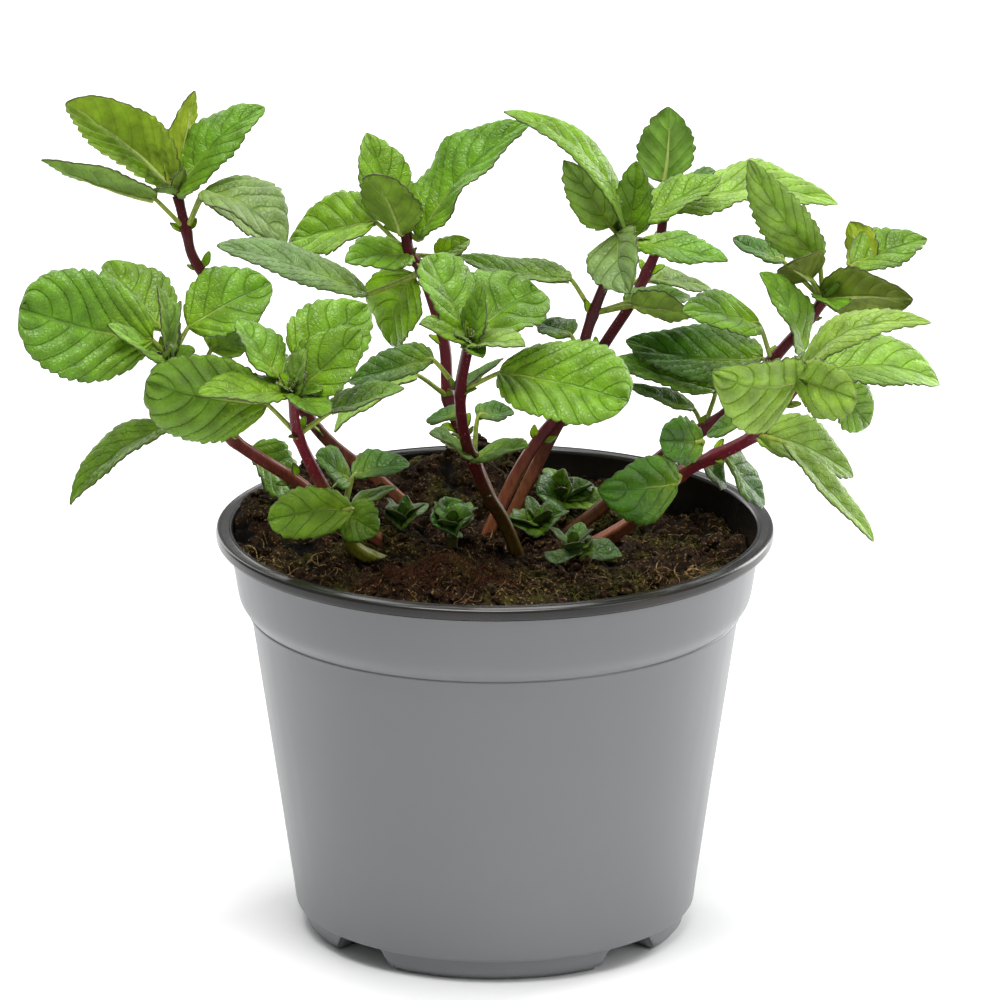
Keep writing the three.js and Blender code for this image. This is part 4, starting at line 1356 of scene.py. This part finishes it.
# %% [markdown]
# The young parts of the plant are downy. A hair system would be lost when the model is exported, so
# every hair is a real slim cone of three sides, copied from one small mesh. Hairs stand out from the
# upper half of each stem and fringe the margins of young leaves. A real one is about 0.03 mm thick,
# too fine to show here, so these are drawn twice as thick.

# %% The down
HAIR_THICKNESS = 0.06
HAIR_LENGTHS = (0.4, 1.0)
STEM_HAIRS = 150
MARGIN_HAIRS = 36

hair_cone = bmesh.new()
bmesh.ops.create_cone(
    hair_cone, cap_ends=True, segments=3, radius1=HAIR_THICKNESS / 2, radius2=HAIR_THICKNESS / 8, depth=1
)
bmesh.ops.translate(hair_cone, verts=hair_cone.verts, vec=(0, 0, 0.5))
hair_shape = mesh_of("hair_shape", hair_cone)


def add_hair(bm, root, way, draw):
    """One hair that stands at the root, given in mm, and points the given way."""
    turned = way.to_track_quat("Z", "Y").to_matrix().to_4x4()
    stretched = Matrix.Diagonal((MM, MM, draw.uniform(*HAIR_LENGTHS) * MM, 1))
    add_copy(bm, hair_shape, Matrix.Translation(root * MM) @ turned @ stretched)


def add_stem_down(bm, route, draw):
    """Hairs all round the upper half of a stem."""
    for number in range(STEM_HAIRS):
        step = draw.randrange(len(route) // 2, len(route) - 1)
        ahead = (route[step + 1] - route[step]).normalized()
        turn = Matrix.Rotation(draw.uniform(0, math.tau), 3, ahead)
        outward = turn @ ahead.orthogonal().normalized()
        root = route[step].lerp(route[step + 1], draw.random()) + outward * STEM_SIZE_HIGH * 0.45
        add_hair(bm, root, outward + ahead * draw.uniform(-0.2, 0.6), draw)


def add_margin_down(bm, blade, draw):
    """A fringe of hairs along both margins of a young blade."""
    for number in range(MARGIN_HAIRS):
        row, side = draw.randrange(2, blade.rows - 1), draw.choice((-1, 1))
        outward = blade.side * side + blade.along * draw.uniform(0, 0.8) + blade.up * draw.uniform(-0.5, 0.5)
        add_hair(bm, blade.place(row, side)[0], outward, draw)


down_tones = ("#c3cfa6", "#e9edda")
leaf_down = two_toned("mint_leaf_down", [("Roughness", 0.6), ("IOR", 1.4)], 1.5, down_tones)

# %% [markdown]
# A leaf of the table is a blade with a raised midrib under it, and most have a stalk. The tip of each
# stem ends in a bunch of young leaves too small for the table, which a rule places, and a pair of tiny
# buds sits at each knot.

# %% Leaves, tips and buds
# How deep a leaf without a stalk is sunk in the stem
LEAF_SUNK = 0.5
YOUNG_WIDTH = 0.55
TIP_LEAVES = 8
TIP_LENGTHS = [9, 7, 5, 3]
TIP_TILTS = [62, 42, 25, 10]
TIP_SPACING = 0.5
TIP_TONES = "glyy"
SPROUT_TIP_TONES = "dkdg"
BUD_LENGTH = 3.2
BUD_OFFSET = 1.1
STALK_TONE = "#86963a"
STALK_STEP = 0.9
# How far a stalk runs on under its blade
STALK_OVERLAP = 2.5
RIB_TONE = "#9fae5c"
RIB_SUNK = 0.35
RIB_SHARE = 0.8
RIB_SIZE, RIB_SIZE_FOR_WIDTH, RIB_END = 0.4, 0.05, 0.15


def add_stalk(bm, colour_layer, route, thick, thin, tone):
    """A round stalk or midrib of one tone, thinner at its end."""
    shade = linear(tone)

    def paint(vert, share, angle):
        vert[colour_layer] = shade

    def section(share, angle):
        return (thick + (thin - thick) * share) / 2 * MM

    add_tube(bm, [place * MM for place in route], STALK_SIDES, section, paint)


def add_tip_leaves(sheet, places, tones, draw):
    """The small unopened leaves at a stem's tip, in pairs set crosswise, the innermost the smallest."""
    tip = places[-1]
    axis = (tip - places[-2]).normalized()
    across = Matrix.Rotation(draw.uniform(0, math.tau), 3, axis) @ axis.orthogonal().normalized()
    made = []
    for number in range(TIP_LEAVES):
        pair = number // 2
        turn = math.pi * number + math.pi / 2 * pair + draw.uniform(-0.3, 0.3)
        outward = Matrix.Rotation(turn, 3, axis) @ across
        tilt = math.radians(TIP_TILTS[pair] + draw.uniform(-8, 8))
        length = TIP_LENGTHS[pair] * draw.uniform(0.85, 1.15)
        reach = (axis * math.cos(tilt) + outward * math.sin(tilt)) * length
        blade = Blade(tip + axis * pair * TIP_SPACING, reach, length * YOUNG_WIDTH, 0, 0, 0, False, draw)
        # The upper side of a young leaf still faces the stem's axis
        blade.up = axis * math.sin(tilt) - outward * math.cos(tilt)
        blade.side = blade.along.cross(blade.up)
        sheet.add_blade(blade, tones[pair], draw)
        made.append(blade)
    return made


def add_buds(sheet, knot, axis, draw):
    """Two tiny folded leaves where a pair of leaves joins the stem."""
    turned = Matrix.Rotation(draw.uniform(0, math.pi), 3, axis) @ axis.orthogonal().normalized()
    for outward in (turned, -turned):
        length = BUD_LENGTH * draw.uniform(0.6, 1.3)
        reach = (axis + outward * 0.8).normalized() * length
        blade = Blade(knot + outward * BUD_OFFSET, reach, length * YOUNG_WIDTH, 0, 0, 0, False, draw)
        sheet.add_blade(blade, "y", draw)


def add_leaf(sheet, stems, stem_layer, places, tone, leaf, draw):
    """A leaf of the table: its blade, its stalk if it has one, and the raised rib under it."""
    number, stalk, reach, width, roll, arch, wave = leaf
    knot, reach = places[number], Vector(reach)
    way = reach.normalized()
    base = knot + Vector(stalk) if stalk else knot - way * LEAF_SUNK
    blade = Blade(base, reach, width, roll, arch, wave, tone.isupper(), draw)
    sheet.add_blade(blade, tone, draw)
    if stalk:
        route = smooth_route([knot, base, base + way * STALK_OVERLAP], STALK_STEP)
        add_stalk(stems, stem_layer, route, STALK_SIZE, STALK_SIZE * 0.8, STALK_TONE)
    ribbed_rows = range(1, int(blade.rows * RIB_SHARE), 2)
    rib = [blade.place(row, 0)[0] - blade.up * RIB_SUNK for row in ribbed_rows]
    add_stalk(stems, stem_layer, rib, RIB_SIZE_FOR_WIDTH * width + RIB_SIZE, RIB_END, RIB_TONE)
    return blade


# %% [markdown]
# Now every stem grows by the same loop. The blades go into one thin sheet, to which a Solidify
# modifier gives its two sides and its rim, each with its own material. The stem, the leaf stalks and
# the raised midribs go into a second piece, and the down of a leafy stem into a third.

# %% Growing the plant
LEAF_THICKNESS = 0.35


def grow(name, places, tones, leaves):
    """The pieces of a leafy stem or sprout: its leaves, its stem with the stalks, a stem's down."""
    draw = random.Random(name)
    is_stem = name in STEM_COLOURS
    places = [Vector(place) for place in places]
    sheet = LeafSheet()
    stems = bmesh.new()
    stem_layer = stems.verts.layers.float_color.new("stem_tone")
    knots = [places[number] for number in sorted({leaf[0] for leaf in leaves})]
    colours = STEM_COLOURS.get(name, SPROUT_COLOURS)
    route_up = add_stem(stems, stem_layer, places, knots, colours)
    downy_blades = []
    for tone, leaf in zip(tones, leaves, strict=True):
        blade = add_leaf(sheet, stems, stem_layer, places, tone, leaf, draw)
        if tone in DOWNY_TONES:
            downy_blades.append(blade)
    downy_blades += add_tip_leaves(sheet, places, TIP_TONES if is_stem else SPROUT_TIP_TONES, draw)
    if is_stem:
        for knot, above in zip(places[2:], places[3:]):
            add_buds(sheet, knot, (above - knot).normalized(), draw)
    leaf_sides = [leaf_upper, leaf_under, leaf_edge, leaf_downy, leaf_under, leaf_edge]
    leaves_piece = finish_piece(name + "_leaves", sheet.bm, leaf_sides, name)
    thick = leaves_piece.modifiers.new("two_sides", "SOLIDIFY")
    thick.thickness = LEAF_THICKNESS * MM
    thick.offset = 0
    thick.material_offset = 1
    thick.material_offset_rim = 2
    finish_piece(name + "_stem", stems, [stem_skin], name)
    if is_stem:
        down = bmesh.new()
        add_stem_down(down, route_up, draw)
        for blade in downy_blades:
            add_margin_down(down, blade, draw)
        finish_piece(name + "_down", down, [leaf_down], name)


for stem_name, stem in PLANT.items():
    grow(stem_name, stem["places"], stem["tones"], stem["leaves"])
